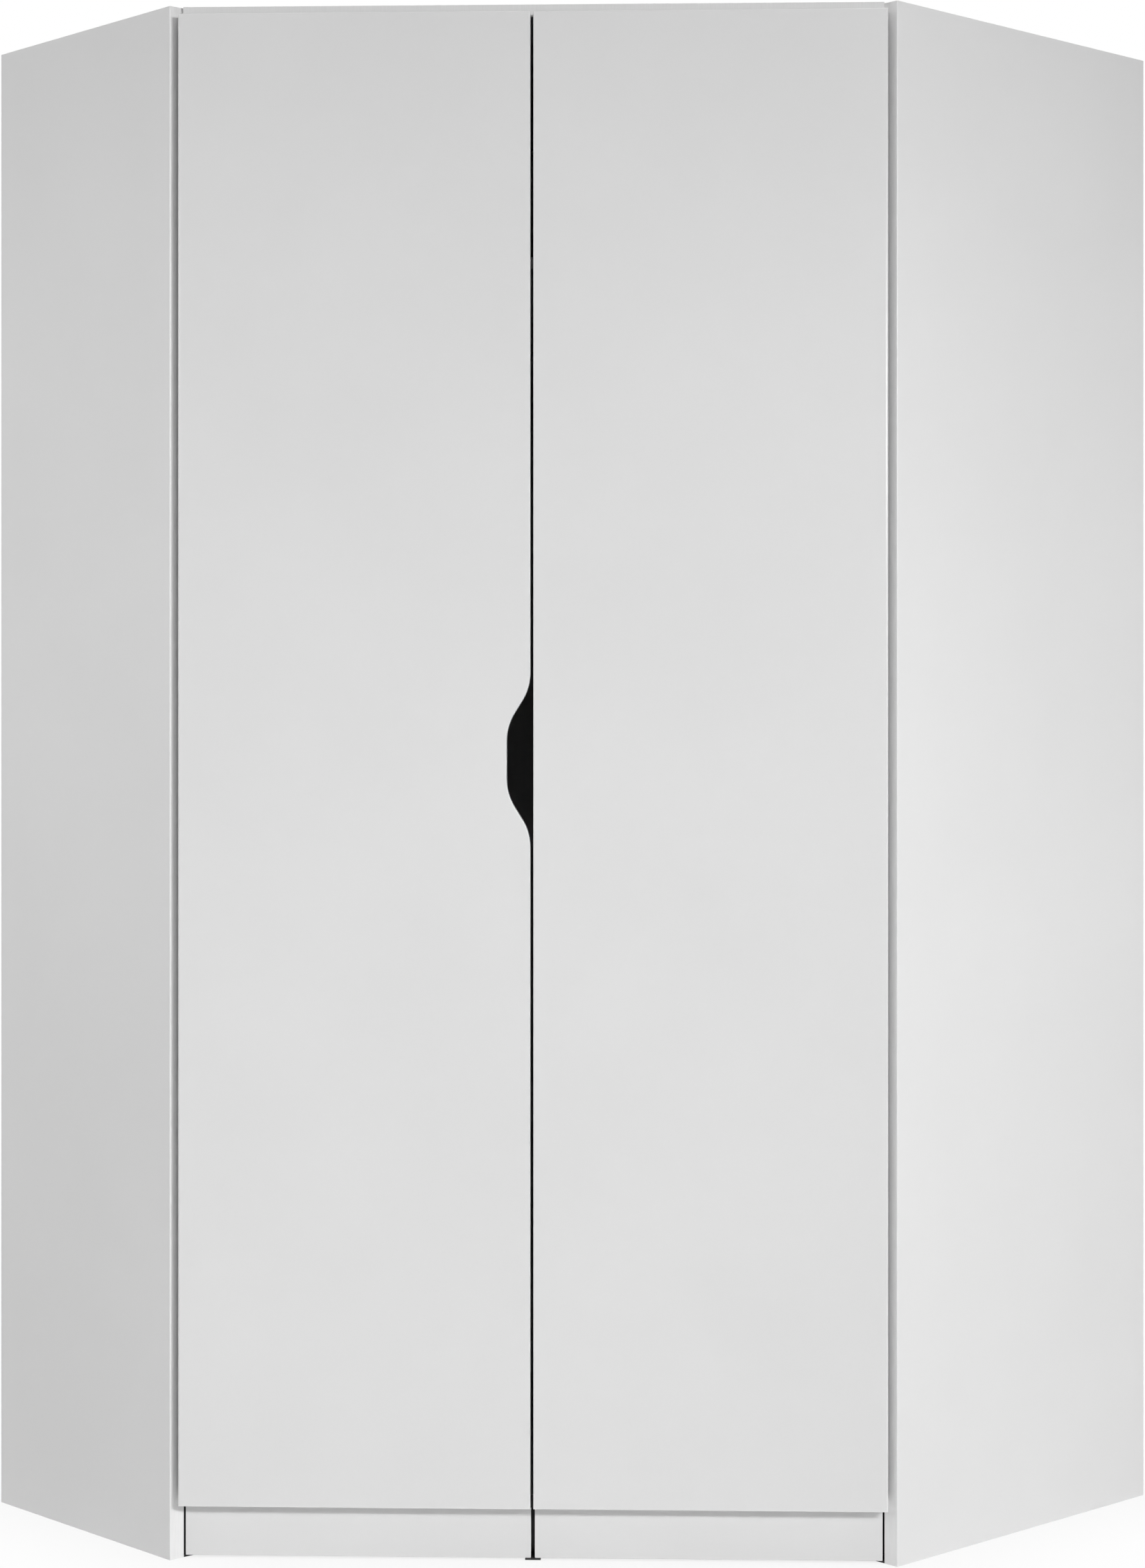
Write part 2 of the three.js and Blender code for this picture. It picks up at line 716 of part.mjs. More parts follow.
// The doors, their hinges and buffers
place('door_left', door(hands.left, true), 'melamine');
place('door_right', door(hands.right, false), 'melamine');
for (const side of ['left', 'right']) {
  place(`door_buffer_${side}`, doorBuffer(hands[side]), 'rubber');
  hingeHeights.forEach((height, i) => {
    const name = `hinge_${side}_${i + 1}`;
    place(`${name}_cup`, hingeCup(hands[side], height), 'steel');
    place(`${name}_arm`, hingeArm(side, height), 'steel');
    place(`${name}_plate`, hingePlate(side, height), 'steel');
  });
}

export default wardrobe;
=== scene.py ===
"""Looks of a white corner wardrobe with two flush doors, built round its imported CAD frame.

Lengths are metres in the row frame: +Z up, the doors face -Y. Sizes that a cabinet maker gives in
millimetres are written with the factor MM.
"""

import json
import logging
import math
from abc import ABC, abstractmethod
from collections.abc import Callable, Iterator, Sequence
from contextlib import contextmanager
from dataclasses import dataclass
from enum import Enum
from typing import ClassVar

import bmesh
import bpy
from mathutils import Matrix, Vector

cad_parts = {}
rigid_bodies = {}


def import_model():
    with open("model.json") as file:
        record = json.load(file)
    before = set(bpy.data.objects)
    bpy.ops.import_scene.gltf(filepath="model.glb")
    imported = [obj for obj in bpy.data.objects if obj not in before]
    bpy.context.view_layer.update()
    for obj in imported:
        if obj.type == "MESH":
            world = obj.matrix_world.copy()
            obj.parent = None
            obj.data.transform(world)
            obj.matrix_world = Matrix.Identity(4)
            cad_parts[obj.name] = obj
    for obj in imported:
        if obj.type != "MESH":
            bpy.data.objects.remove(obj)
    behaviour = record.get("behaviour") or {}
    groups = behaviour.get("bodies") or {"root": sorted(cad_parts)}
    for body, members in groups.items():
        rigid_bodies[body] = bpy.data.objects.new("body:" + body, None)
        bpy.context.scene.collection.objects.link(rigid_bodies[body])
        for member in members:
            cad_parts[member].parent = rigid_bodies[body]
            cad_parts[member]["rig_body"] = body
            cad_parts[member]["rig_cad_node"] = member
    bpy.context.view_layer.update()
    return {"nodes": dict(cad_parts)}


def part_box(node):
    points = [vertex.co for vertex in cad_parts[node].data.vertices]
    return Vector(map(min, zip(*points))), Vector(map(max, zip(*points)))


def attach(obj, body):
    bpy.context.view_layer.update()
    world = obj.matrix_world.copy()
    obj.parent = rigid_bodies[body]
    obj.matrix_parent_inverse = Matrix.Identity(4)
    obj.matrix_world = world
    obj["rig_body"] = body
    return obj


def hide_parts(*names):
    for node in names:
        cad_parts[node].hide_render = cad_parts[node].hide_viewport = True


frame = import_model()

log = logging.getLogger("corner_wardrobe")

MM = 0.001
WHITE = (1.0, 1.0, 1.0, 1.0)
SLOPE = math.sqrt(0.5)  # sine and cosine of the sides' 45 degrees
TINY = 0.01 * MM  # what still counts as the same place
SMOOTH_TURN = math.radians(50)  # the sharpest turn between faces that shades smooth
UP = Vector((0.0, 0.0, 1.0))
DOWN = Vector((0.0, 0.0, -1.0))
REARWARD = Vector((0.0, 1.0, 0.0))

Tree = bpy.types.NodeTree
Node = bpy.types.Node
Socket = bpy.types.NodeSocket
Piece = bpy.types.Object
Pair = tuple[float, float]
Triple = tuple[float, float, float]
FaceTest = Callable[[Vector, Vector], bool]  # middle and normal of a face
EdgeTest = Callable[[Vector, Vector], bool]  # the two ends of an edge
Element = bmesh.types.BMFace | bmesh.types.BMEdge


# ---- Plan of the cabinet


class Side(Enum):
    """The two sides of the cabinet, seen from the front."""

    LEFT = "left"
    RIGHT = "right"

    @property
    def hand(self) -> int:
        """-1 on the left and +1 on the right."""
        return -1 if self is Side.LEFT else 1

    @property
    def along(self) -> Vector:
        """Level direction of the side, from its front edge to the wall."""
        return Vector((self.hand * SLOPE, SLOPE, 0.0))

    @property
    def inward(self) -> Vector:
        """Level direction from the side's outer face into the cabinet."""
        return Vector((-self.hand * SLOPE, SLOPE, 0.0))

    @property
    def door(self) -> str:
        """The body that this side's door rides on."""
        return f"{self.value}_door"


@dataclass(frozen=True)
class Plan:
    """Plan sizes that the CAD source gives, from the middle of the line between the front corners."""

    middle: Pair = (-44.194 * MM, -548.001 * MM)
    half_front: float = 464 * MM
    side_thickness: float = 22 * MM
    cups: float = 428.944 * MM  # from the middle of the front to the hinge cups
    door_back: float = 1 * MM

    def front(self, across: float, behind: float, height: float) -> Vector:
        """The point so far right of the front line's middle, behind that line and above the floor."""
        return Vector((self.middle[0] + across, self.middle[1] + behind, height))

    def point(self, side: Side, along: float, inward: float, height: float = 0.0) -> Vector:
        """The point so far behind a side's front edge, inward from its outer face and above the floor."""
        corner = self.front(side.hand * self.half_front, 0.0, height)
        return corner + side.along * along + side.inward * inward

    def coordinates(self, side: Side, place: Vector) -> Pair:
        """How far a point lies behind a side's front edge and inward from its outer face."""
        offset = place - self.point(side, 0.0, 0.0, place.z)
        return offset.dot(side.along), offset.dot(side.inward)


PLAN = Plan()


# ---- Colour and node tools


def linear(colour: str) -> tuple[float, float, float, float]:
    """Turns an sRGB colour into the linear values that a node takes.

    Args:
        colour: six hexadecimal digits after a #.

    Returns:
        Red, green, blue and an alpha of 1.
    """
    levels = [int(colour[i : i + 2], 16) / 255 for i in (1, 3, 5)]
    red, green, blue = (v / 12.92 if v <= 0.04045 else ((v + 0.055) / 1.055) ** 2.4 for v in levels)
    return red, green, blue, 1.0


def fresh_tree(owner: bpy.types.Material | bpy.types.World) -> Tree:
    """Turns a material or a world to nodes.

    Args:
        owner: the material or the world.

    Returns:
        Its node tree, emptied.
    """
    owner.use_nodes = True
    owner.node_tree.nodes.clear()
    return owner.node_tree


def add_node(
    tree: Tree, kind: str, inputs: dict[str | int, object] | None = None, **settings: object
) -> Node:
    """Adds a node to a tree.

    Args:
        tree: the node tree of a material or the world.
        kind: the node's type, such as ShaderNodeTexNoise.
        inputs: the value of each input named or numbered here, or the output that feeds it.
        settings: properties of the node itself.

    Returns:
        The new node.
    """
    node = tree.nodes.new(kind)
    for name, value in settings.items():
        setattr(node, name, value)
    for name, value in (inputs or {}).items():
        if isinstance(value, Socket):
            tree.links.new(value, node.inputs[name])
        else:
            node.inputs[name].default_value = value
    return node


def coordinates(tree: Tree) -> Socket:
    """Adds the object's own coordinates."""
    return add_node(tree, "ShaderNodeTexCoord").outputs["Object"]


def noise(tree: Tree, place: Socket, size: float, **values: float) -> Socket:
    """Adds noise with spots of one size, other inputs as named, and gives its values from 0 to 1."""
    inputs = {"Vector": place, "Scale": 1 / size, "Detail": 2.0} | values
    return add_node(tree, "ShaderNodeTexNoise", inputs).outputs["Fac"]


def computed(tree: Tree, operation: str, *terms: Socket | float) -> Socket:
    """Adds an operation on outputs and numbers, and gives its result."""
    return add_node(tree, "ShaderNodeMath", dict(enumerate(terms)), operation=operation).outputs[0]


def mapped(tree: Tree, value: Socket, low: float, high: float = 1.0) -> Socket:
    """Adds a map of the values from 0 to 1 onto those from low to high."""
    inputs = {"Value": value, "To Min": low, "To Max": high}
    return add_node(tree, "ShaderNodeMapRange", inputs).outputs["Result"]


def toned(tree: Tree, choice: Socket, *stops: tuple[float, str]) -> Socket:
    """Adds a colour ramp.

    Args:
        tree: the node tree.
        choice: the values that choose the tone.
        stops: the place from 0 to 1 and the sRGB colour of each tone.

    Returns:
        The colour.
    """
    node = add_node(tree, "ShaderNodeValToRGB", {"Fac": choice})
    elements = node.color_ramp.elements
    elements.remove(elements[-1])
    elements[0].position = stops[0][0]
    elements[0].color = linear(stops[0][1])
    for place, colour in stops[1:]:
        elements.new(place).color = linear(colour)
    return node.outputs["Color"]


def surfaced(tree: Tree, height: Socket, strength: float, depth: float, **inputs: object) -> Node:
    """Adds the shader of a surface with a fine relief.

    Args:
        tree: the material's tree.
        height: the pattern of the relief.
        strength: how strongly the relief shows.
        depth: how deep the relief is.
        inputs: the value of each other input, or its output, with _ for a blank in its name.

    Returns:
        The shader node.
    """
    bump = add_node(tree, "ShaderNodeBump", {"Height": height, "Strength": strength, "Distance": depth})
    named = {name.replace("_", " "): value for name, value in inputs.items()}
    return add_node(tree, "ShaderNodeBsdfPrincipled", named | {"Normal": bump.outputs["Normal"]})


# ---- Finishes


@dataclass(frozen=True)
class Finish(ABC):
    """A real surface: what it is made of and how."""

    name: str
    slot: str

    def material(self) -> bpy.types.Material:
        """Makes the material at its first use.

        Returns:
            The Blender material of this finish.
        """
        found = bpy.data.materials.get(self.name)
        if found is None:
            found = bpy.data.materials.new(self.name)
            tree = fresh_tree(found)
            add_node(tree, "ShaderNodeOutputMaterial", {"Surface": self.build(tree).outputs[0]})
        return found

    @abstractmethod
    def build(self, tree: Tree) -> Node:
        """Adds the nodes of the finish.

        Args:
            tree: the material's empty tree.

        Returns:
            The shader node that ends the tree.
        """


class Working(Enum):
    """How a surface was worked: the scale of its grain along each axis, small along its lines."""

    EVEN = (1.0, 1.0, 1.0)
    EXTRUDED = (1.0, 1.0, 0.04)
    ROLLED = (1.0, 1.0, 0.06)
    DRAWN = (0.02, 1.0, 1.0)


@dataclass(frozen=True)
class GrainedFinish(Finish):
    """A finish whose grain shows in its gloss and its relief, and whose tone strays a little."""

    colour: str
    shade: str  # its darker tone
    roughness: Pair  # the least and the most
    grain: float  # how broad a grain or a line is
    relief: float  # how deep the grain is
    strength: float = 0.4  # how strongly the relief shows
    blend: Pair = (0.3, 0.7)  # how far the shade and the colour reach in the pattern of the tone
    detail: float = 2.0
    working: Working = Working.EVEN
    cloud: float | None = None  # size of the clouds of tone; without it, the tone follows the grain
    cloud_detail: float = 2.0
    grain_share: float = 0.0  # how much of the grain shows in the tone
    ior: float = 1.5
    metallic: float = 0.0
    see_through: float = 0.0

    def build(self, tree: Tree) -> Node:
        """Adds the grain with its gloss and relief, and the tone.

        Args:
            tree: the material's empty tree.

        Returns:
            The shader node.
        """
        place = coordinates(tree)
        scale = tuple(share / self.grain for share in self.working.value)
        run = add_node(tree, "ShaderNodeMapping", {"Vector": place, "Scale": scale}).outputs[0]
        grain = noise(tree, run, 1.0, Detail=self.detail)
        choice = grain
        if self.cloud is not None:
            choice = noise(tree, place, self.cloud, Detail=self.cloud_detail)
        tone = toned(tree, choice, (self.blend[0], self.shade), (self.blend[1], self.colour))
        if self.grain_share:
            mix = {"Fac": self.grain_share, "Color1": tone, "Color2": grain}
            tone = add_node(tree, "ShaderNodeMixRGB", mix, blend_type="SOFT_LIGHT").outputs["Color"]
        return surfaced(
            tree,
            grain,
            self.strength,
            self.relief,
            Base_Color=tone,
            Roughness=mapped(tree, grain, *self.roughness),
            IOR=self.ior,
            Metallic=self.metallic,
            Transmission_Weight=self.see_through,
        )


@dataclass(frozen=True)
class MelamineFacing(GrainedFinish):
    """Melamine paper pressed on chipboard between fine pearl-grained plates: satin, with a soft grain."""

    colour: str = "#ebebeb"
    shade: str = "#e9e9e9"  # where the paper is a little thinner
    roughness: Pair = (0.41, 0.51)
    grain: float = 1.6 * MM  # the pressed grain is 0.5 mm; drawn coarser, so that it shows
    relief: float = 0.03 * MM
    strength: float = 0.5
    blend: Pair = (0.35, 0.65)
    cloud: float | None = 240 * MM
    cloud_detail: float = 3.0
    grain_share: float = 0.06


@dataclass(frozen=True)
class ExtrudedBand(GrainedFinish):
    """ABS edge band, extruded, glued and trimmed round: smoother than the facing, with draw lines."""

    # lighter than the facing: partly the band's own white, partly painted light on the edges
    colour: str = "#f8f8f8"
    shade: str = "#f4f4f4"
    roughness: Pair = (0.21, 0.29)
    grain: float = 0.9 * MM
    relief: float = 0.01 * MM
    detail: float = 1.0
    working: Working = Working.EXTRUDED
    ior: float = 1.53


@dataclass(frozen=True)
class PlatedMetal(GrainedFinish):
    """Steel or zinc under a plated skin: bright, with fine working lines and faint clouds."""

    colour: str = "#c9cbcd"
    shade: str = "#b4b7ba"
    roughness: Pair = (0.24, 0.375)
    grain: float = 0.8 * MM
    relief: float = 0.008 * MM
    strength: float = 0.3
    blend: Pair = (0.35, 0.65)
    working: Working = Working.ROLLED
    cloud: float | None = 50 * MM / 3
    metallic: float = 1.0


@dataclass(frozen=True)
class MouldedPlastic(GrainedFinish):
    """Injection-moulded plastic with the fine grain of an eroded mould."""

    colour: str = "#e8e8e6"
    shade: str = "#dfdfdc"
    roughness: Pair = (0.39, 0.51)
    grain: float = 0.8 * MM
    relief: float = 0.02 * MM


@dataclass(frozen=True)
class ChipboardCore(Finish):
    """The sawn edge of chipboard: pressed wood chips, pale to brown, matt and open."""

    chip: float = 3.2 * MM
    ragged: float = 6 * MM  # how far the outlines of the chips stray
    chip_share: float = 0.55  # how much the chips count beside the dust between them
    dust: float = 0.7 * MM
    relief: float = 0.25 * MM

    def build(self, tree: Tree) -> Node:
        """Adds chips of several wood tones with dark pores between them.

        Args:
            tree: the material's empty tree.

        Returns:
            The shader node.
        """
        place = coordinates(tree)
        broad = {"Vector": place, "Scale": 1 / (4 * self.chip), "Detail": 2.0}
        bent = add_node(tree, "ShaderNodeTexNoise", broad).outputs["Color"]
        push = {0: bent, 1: (self.ragged,) * 3, 2: place}
        pushed = add_node(tree, "ShaderNodeVectorMath", push, operation="MULTIPLY_ADD").outputs[0]
        cells = {"Vector": pushed, "Scale": 1 / self.chip}
        chips = add_node(tree, "ShaderNodeTexVoronoi", cells).outputs["Color"]
        chip = add_node(tree, "ShaderNodeSeparateColor", {0: chips}).outputs[0]
        dust = noise(tree, place, self.dust, Detail=3.0)
        mixed = computed(tree, "MULTIPLY_ADD", chip, self.chip_share, dust)
        tones = ((0.3, "#6f5136"), (0.48, "#a78158"), (0.72, "#c7a67c"), (0.95, "#dcc39c"))
        wood = toned(tree, mixed, *tones)
        return surfaced(tree, mixed, 0.7, self.relief, Base_Color=wood, Roughness=0.88, IOR=1.5)


@dataclass(frozen=True)
class PressedHardboard(Finish):
    """Wet-pressed hardboard left bare on its wall side: brown felted fibres with a dull sheen."""

    fibre: float = 1.1 * MM
    fibre_share: float = 0.8
    cloud: float = 142.857 * MM
    cloud_share: float = 0.3  # how strongly the broad clouds show
    relief: float = 0.06 * MM

    def build(self, tree: Tree) -> Node:
        """Adds felted fibres over faint brown clouds.

        Args:
            tree: the material's empty tree.

        Returns:
            The shader node.
        """
        place = coordinates(tree)
        fibres = noise(tree, place, self.fibre, Detail=4.0, Roughness=0.7, Distortion=1.5)
        clouds = noise(tree, place, self.cloud, Detail=3.0)
        faint = computed(tree, "MULTIPLY", clouds, self.cloud_share)
        mixed = computed(tree, "MULTIPLY_ADD", fibres, self.fibre_share, faint)
        brown = toned(tree, mixed, (0.3, "#7d5a3c"), (0.55, "#946e4a"), (0.8, "#a8835d"))
        return surfaced(tree, fibres, 0.5, self.relief, Base_Color=brown, Roughness=0.62, IOR=1.5)


FACING = MelamineFacing("melamine facing, pearl pressed", "melamine_white")
INNER_FACING = MelamineFacing(
    "melamine facing, inner boards", "melamine_inside", colour="#e5e5e5", shade="#e3e3e3"
)
# its lighter tone is partly painted light on the edges
BAND = ExtrudedBand("ABS edge band, extruded", "melamine_white")
# a darker copy of the band: painted shade on the doors' outer, hinge edges
SHADED_HINGE_BAND = ExtrudedBand(
    "ABS edge band, hinge edges of the doors", "melamine_white", colour="#efefef", shade="#ebebeb"
)
CORE = ChipboardCore("chipboard, sawn edge", "melamine_inside")
HARDBOARD = PressedHardboard("hardboard, pressed", "hardboard")
# the lacquer is a real coat; its grey is painted shade inside the cabinet, seen through the finger
# cut-out
LACQUER_GREYED_AS_SHADE = MelamineFacing(
    "hardboard lacquer, roller coated, greyed as painted shade",
    "hardboard",
    colour="#bcbcbb",
    shade="#b5b5b4",
    roughness=(0.35, 0.45),
)
NICKEL = PlatedMetal(
    "steel, deep drawn and nickel plated",
    "steel",
    colour="#cfccc6",
    shade="#bdbab4",
    roughness=(0.192, 0.3),
)
ZINC = PlatedMetal("steel, bent and zinc plated", "steel", colour="#c4c8cc", shade="#a9aeb3")
SCREW_ZINC = PlatedMetal(
    "steel screw, cold headed and zinc plated", "steel", colour="#c9cbcc", working=Working.EVEN
)
CAST_ZINC = PlatedMetal(
    "zinc, pressure die cast",
    "steel",
    colour="#bcbdbe",
    roughness=(0.304, 0.475),
    working=Working.EVEN,
)
CHROME = PlatedMetal(
    "steel tube, drawn and chrome plated",
    "chrome",
    colour="#dcdee0",
    shade="#d3d5d8",
    roughness=(0.08, 0.125),
    working=Working.DRAWN,
)
WHITE_PLASTIC = MouldedPlastic("polystyrene, moulded white", "plastic_white")
# real black plastic, also used for pieces that are painted shade in the gaps
BLACK_PLASTIC_AND_SHADE = MouldedPlastic(
    "polypropylene, moulded black, also painted shade",
    "plastic_black",
    colour="#222223",
    shade="#19191a",
    roughness=(0.49, 0.61),
)
BUFFER = MouldedPlastic(
    "polyurethane, cast clear",
    "rubber",
    colour="#e9ebea",
    shade="#e1e4e3",
    roughness=(0.12, 0.24),
    ior=1.49,
    see_through=0.6,
)


# ---- Bench tools


def deselect_all() -> None:
    """Leaves nothing selected, the CAD nodes included."""
    for thing in bpy.context.view_layer.objects:
        thing.select_set(False)


def latest() -> Piece:
    """The object that the last operator added."""
    return bpy.context.view_layer.objects.active


def choose(piece: Piece) -> None:
    """Makes a piece the only selected and the active one.

    Args:
        piece: the mesh object.
    """
    deselect_all()
    piece.select_set(True)
    bpy.context.view_layer.objects.active = piece


@contextmanager
def editing(piece: Piece) -> Iterator[None]:
    """Opens a piece in edit mode with nothing selected, and closes it again.

    Args:
        piece: the mesh object to work on.

    Yields:
        Nothing: the work is done by operators.
    """
    choose(piece)
    bpy.ops.object.mode_set(mode="EDIT")
    bpy.ops.mesh.select_all(action="DESELECT")
    yield
    bpy.ops.object.mode_set(mode="OBJECT")


def pick(piece: Piece, kind: str, wanted: Callable[[Element], bool]) -> None:
    """Selects the faces or the edges of a piece in edit mode that pass a test, and no others.

    Args:
        piece: the mesh object in edit mode.
        kind: FACE or EDGE.
        wanted: the test.
    """
    bpy.ops.mesh.select_mode(type=kind)
    mesh = bmesh.from_edit_mesh(piece.data)
    elements = mesh.faces if kind == "FACE" else mesh.edges
    found = [element for element in elements if wanted(element)]
    for element in elements:
        element.select_set(False)
    for element in found:
        element.select_set(True)
    bmesh.update_edit_mesh(piece.data)


def pick_faces(piece: Piece, wanted: FaceTest) -> None:
    """Selects the faces of a piece whose middle and normal pass a test."""
    pick(piece, "FACE", lambda face: wanted(face.calc_center_median(), face.normal))


def round_edges(piece: Piece, offset: float, segments: int, wanted: EdgeTest | None = None) -> None:
    """Rounds the edges of a piece.

    Args:
        piece: the mesh object.
        offset: how far the rounding reaches.
        segments: how many faces round one edge.
        wanted: the test of an edge's two ends; without it, every edge is rounded.
    """
    with editing(piece):
        if wanted is None:
            bpy.ops.mesh.select_all(action="SELECT")
        else:
            pick(piece, "EDGE", lambda edge: wanted(edge.verts[0].co, edge.verts[1].co))
        bpy.ops.mesh.bevel(offset=offset, segments=segments, affect="EDGES")


def board_from(node: str, name: str) -> Piece:
    """Starts a board on a copy of a CAD node, with its loose triangles made whole faces.

    Args:
        node: the CAD node that gives the shape.
        name: the new piece's name.

    Returns:
        The copy, which no longer counts as a CAD node.
    """
    choose(frame["nodes"][node])
    bpy.ops.object.duplicate()
    piece = latest()
    piece.parent = None
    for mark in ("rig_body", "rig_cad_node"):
        del piece[mark]
    piece.name = piece.data.name = name
    piece.data.materials.clear()
    with editing(piece):
        bpy.ops.mesh.select_all(action="SELECT")
        bpy.ops.mesh.customdata_custom_splitnormals_clear()
        bpy.ops.mesh.remove_doubles(threshold=0.002 * MM)
        bpy.ops.mesh.dissolve_limited(angle_limit=math.radians(0.3))
    return piece


def give(piece: Piece, finish: Finish, wanted: FaceTest | None = None) -> None:
    """Gives a finish to a piece, or to those of its faces that pass a test.

    Args:
        piece: the mesh object.
        finish: the finish to give.
        wanted: the test of a face; without it, the finish becomes the piece's first.
    """
    piece.data.materials.append(finish.material())
    if wanted is None:
        return
    with editing(piece):
        pick_faces(piece, wanted)
        piece.active_material_index = len(piece.data.materials) - 1
        bpy.ops.object.material_slot_assign()


def use(piece: Piece, kind: str, **settings: object) -> None:
    """Adds a modifier to a piece and applies it.

    Args:
        piece: the mesh object.
        kind: the modifier's type.
        settings: properties of the modifier.
    """
    choose(piece)
    bpy.ops.object.modifier_add(type=kind)
    modifier = piece.modifiers[-1]
    for name, value in settings.items():
        setattr(modifier, name, value)
    bpy.ops.object.modifier_apply(modifier=modifier.name)


def soften(piece: Piece) -> None:
    """Shades the rounded edges of a piece smooth and keeps its flat faces flat.

    Args:
        piece: the mesh object.
    """
    choose(piece)
    bpy.ops.object.shade_smooth_by_angle(angle=SMOOTH_TURN, keep_sharp_edges=False)
    use(piece, "WEIGHTED_NORMAL", keep_sharp=True, weight=100)


def join(pieces: Sequence[Piece], name: str) -> Piece:
    """Joins pieces into one, in place.

    Args:
        pieces: the mesh objects, of which the first is kept.
        name: the name of the whole.

    Returns:
        The joined piece.
    """
    choose(pieces[0])
    for piece in pieces:
        piece.select_set(True)
    if len(pieces) > 1:
        bpy.ops.object.join()
    pieces[0].name = pieces[0].data.name = name
    return pieces[0]


def copy_to(master: Piece, place: Matrix) -> Piece:
    """Copies a small part and sets the copy down, with its place in its mesh.

    Args:
        master: the part, modelled round the origin.
        place: where the copy goes.

    Returns:
        The copy, with its own mesh.
    """
    choose(master)
    bpy.ops.object.duplicate()
    piece = latest()
    piece.matrix_world = place
    bpy.ops.object.transform_apply(location=True, rotation=True, scale=True)
    return piece


def discard(piece: Piece) -> None:
    """Removes a tool or a master that is no longer needed."""
    bpy.data.objects.remove(piece)


def combine(piece: Piece, tool: Piece, operation: str, **settings: object) -> None:
    """Cuts a piece with a tool or joins the tool to it, and removes the tool."""
    use(piece, "BOOLEAN", object=tool, operation=operation, solver="EXACT", **settings)
    discard(tool)


def facing(place: Vector, direction: Vector, turn: float = 0.0) -> Matrix:
    """How a part is set down at a place, its +Z along a direction, turned by degrees about it."""
    aim = direction.to_track_quat("Z", "Y").to_matrix().to_4x4()
    return Matrix.Translation(place) @ aim @ Matrix.Rotation(math.radians(turn), 4, "Z")


def mount(piece: Piece, body: str, finish: Finish, *nodes: str) -> None:
    """Sets a finished piece on its body, and reports it.

    Args:
        piece: the finished piece.
        body: the CAD body that it rides on.
        finish: not used.
        nodes: the CAD nodes that it stands for.
    """
    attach(piece, body)
    if nodes:
        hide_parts(*nodes)
    log.info("%s: %d faces, rides on %s", piece.name, len(piece.data.polygons), body)


def dress(finish: Finish, *nodes: str) -> None:
    """Gives a finish to CAD nodes whose shape stays.

    Args:
        finish: the finish.
        nodes: the CAD nodes.
    """
    for node in nodes:
        thing = frame["nodes"][node]
        for slot in thing.material_slots:
            slot.link = "OBJECT"
            slot.material = finish.material()
        log.info("%s: CAD shape in %s", node, finish.name)


# ---- Small parts that repeat


class Drive(Enum):
    """The recess that turns a screw or a cam: how wide its arms are."""

    SMALL_CROSS = 0.9 * MM
    WIDE_CROSS = 1.6 * MM


@dataclass(frozen=True)
class RoundHead:
    """A round head with a cross recess, modelled once at the origin with its seat at zero height."""

    name: str
    radius: float
    height: float
    drive: Drive
    finish: Finish
    crown: float = 0.5
    sides: int = 24

    def make(self) -> Piece:
        """Models the head: a disc, its rim rolled over, and the recess cut into its crown.

        Returns:
            The master part.
        """
        deselect_all()
        bpy.ops.mesh.primitive_cylinder_add(
            vertices=self.sides,
            radius=self.radius,
            depth=self.height,
            location=(0.0, 0.0, self.height / 2),
        )
        head = latest()
        head.name = self.name
        bpy.ops.object.transform_apply(location=True, rotation=True, scale=True)
        round_edges(head, self.crown * self.height, 3, lambda a, b: min(a.z, b.z) > 0.9 * self.height)
        give(head, self.finish)
        combine(head, self.recess(), "DIFFERENCE")
        soften(head)
        return head

    def recess(self) -> Piece:
        """Models the cutter of the recess: two crossed wedges that narrow downward.

        Returns:
            The cutter.
        """
        arms = []
        for turn in (0.0, math.pi / 2):
            deselect_all()
            bpy.ops.mesh.primitive_cube_add(
                size=1.0,
                location=(0.0, 0.0, self.height),
                rotation=(0.0, 0.0, turn),
                scale=(1.1 * self.radius, self.drive.value, 1.3 * self.height),
            )
            arm = latest()
            bpy.ops.object.transform_apply(location=True, rotation=True, scale=True)
            with editing(arm):
                pick_faces(arm, lambda middle, normal: normal.z < -0.9)
                bpy.ops.transform.resize(value=(0.6, 0.6, 1.0))
            arms.append(arm)
        combine(arms[0], arms[1], "UNION")
        return arms[0]


def set_of(master: Piece, places: Sequence[Matrix], name: str, body: str, finish: Finish) -> None:
    """Sets copies of a small part down at its places and mounts them on a body as one piece."""
    mount(join([copy_to(master, place) for place in places], name), body, finish)


# ---- Carcass


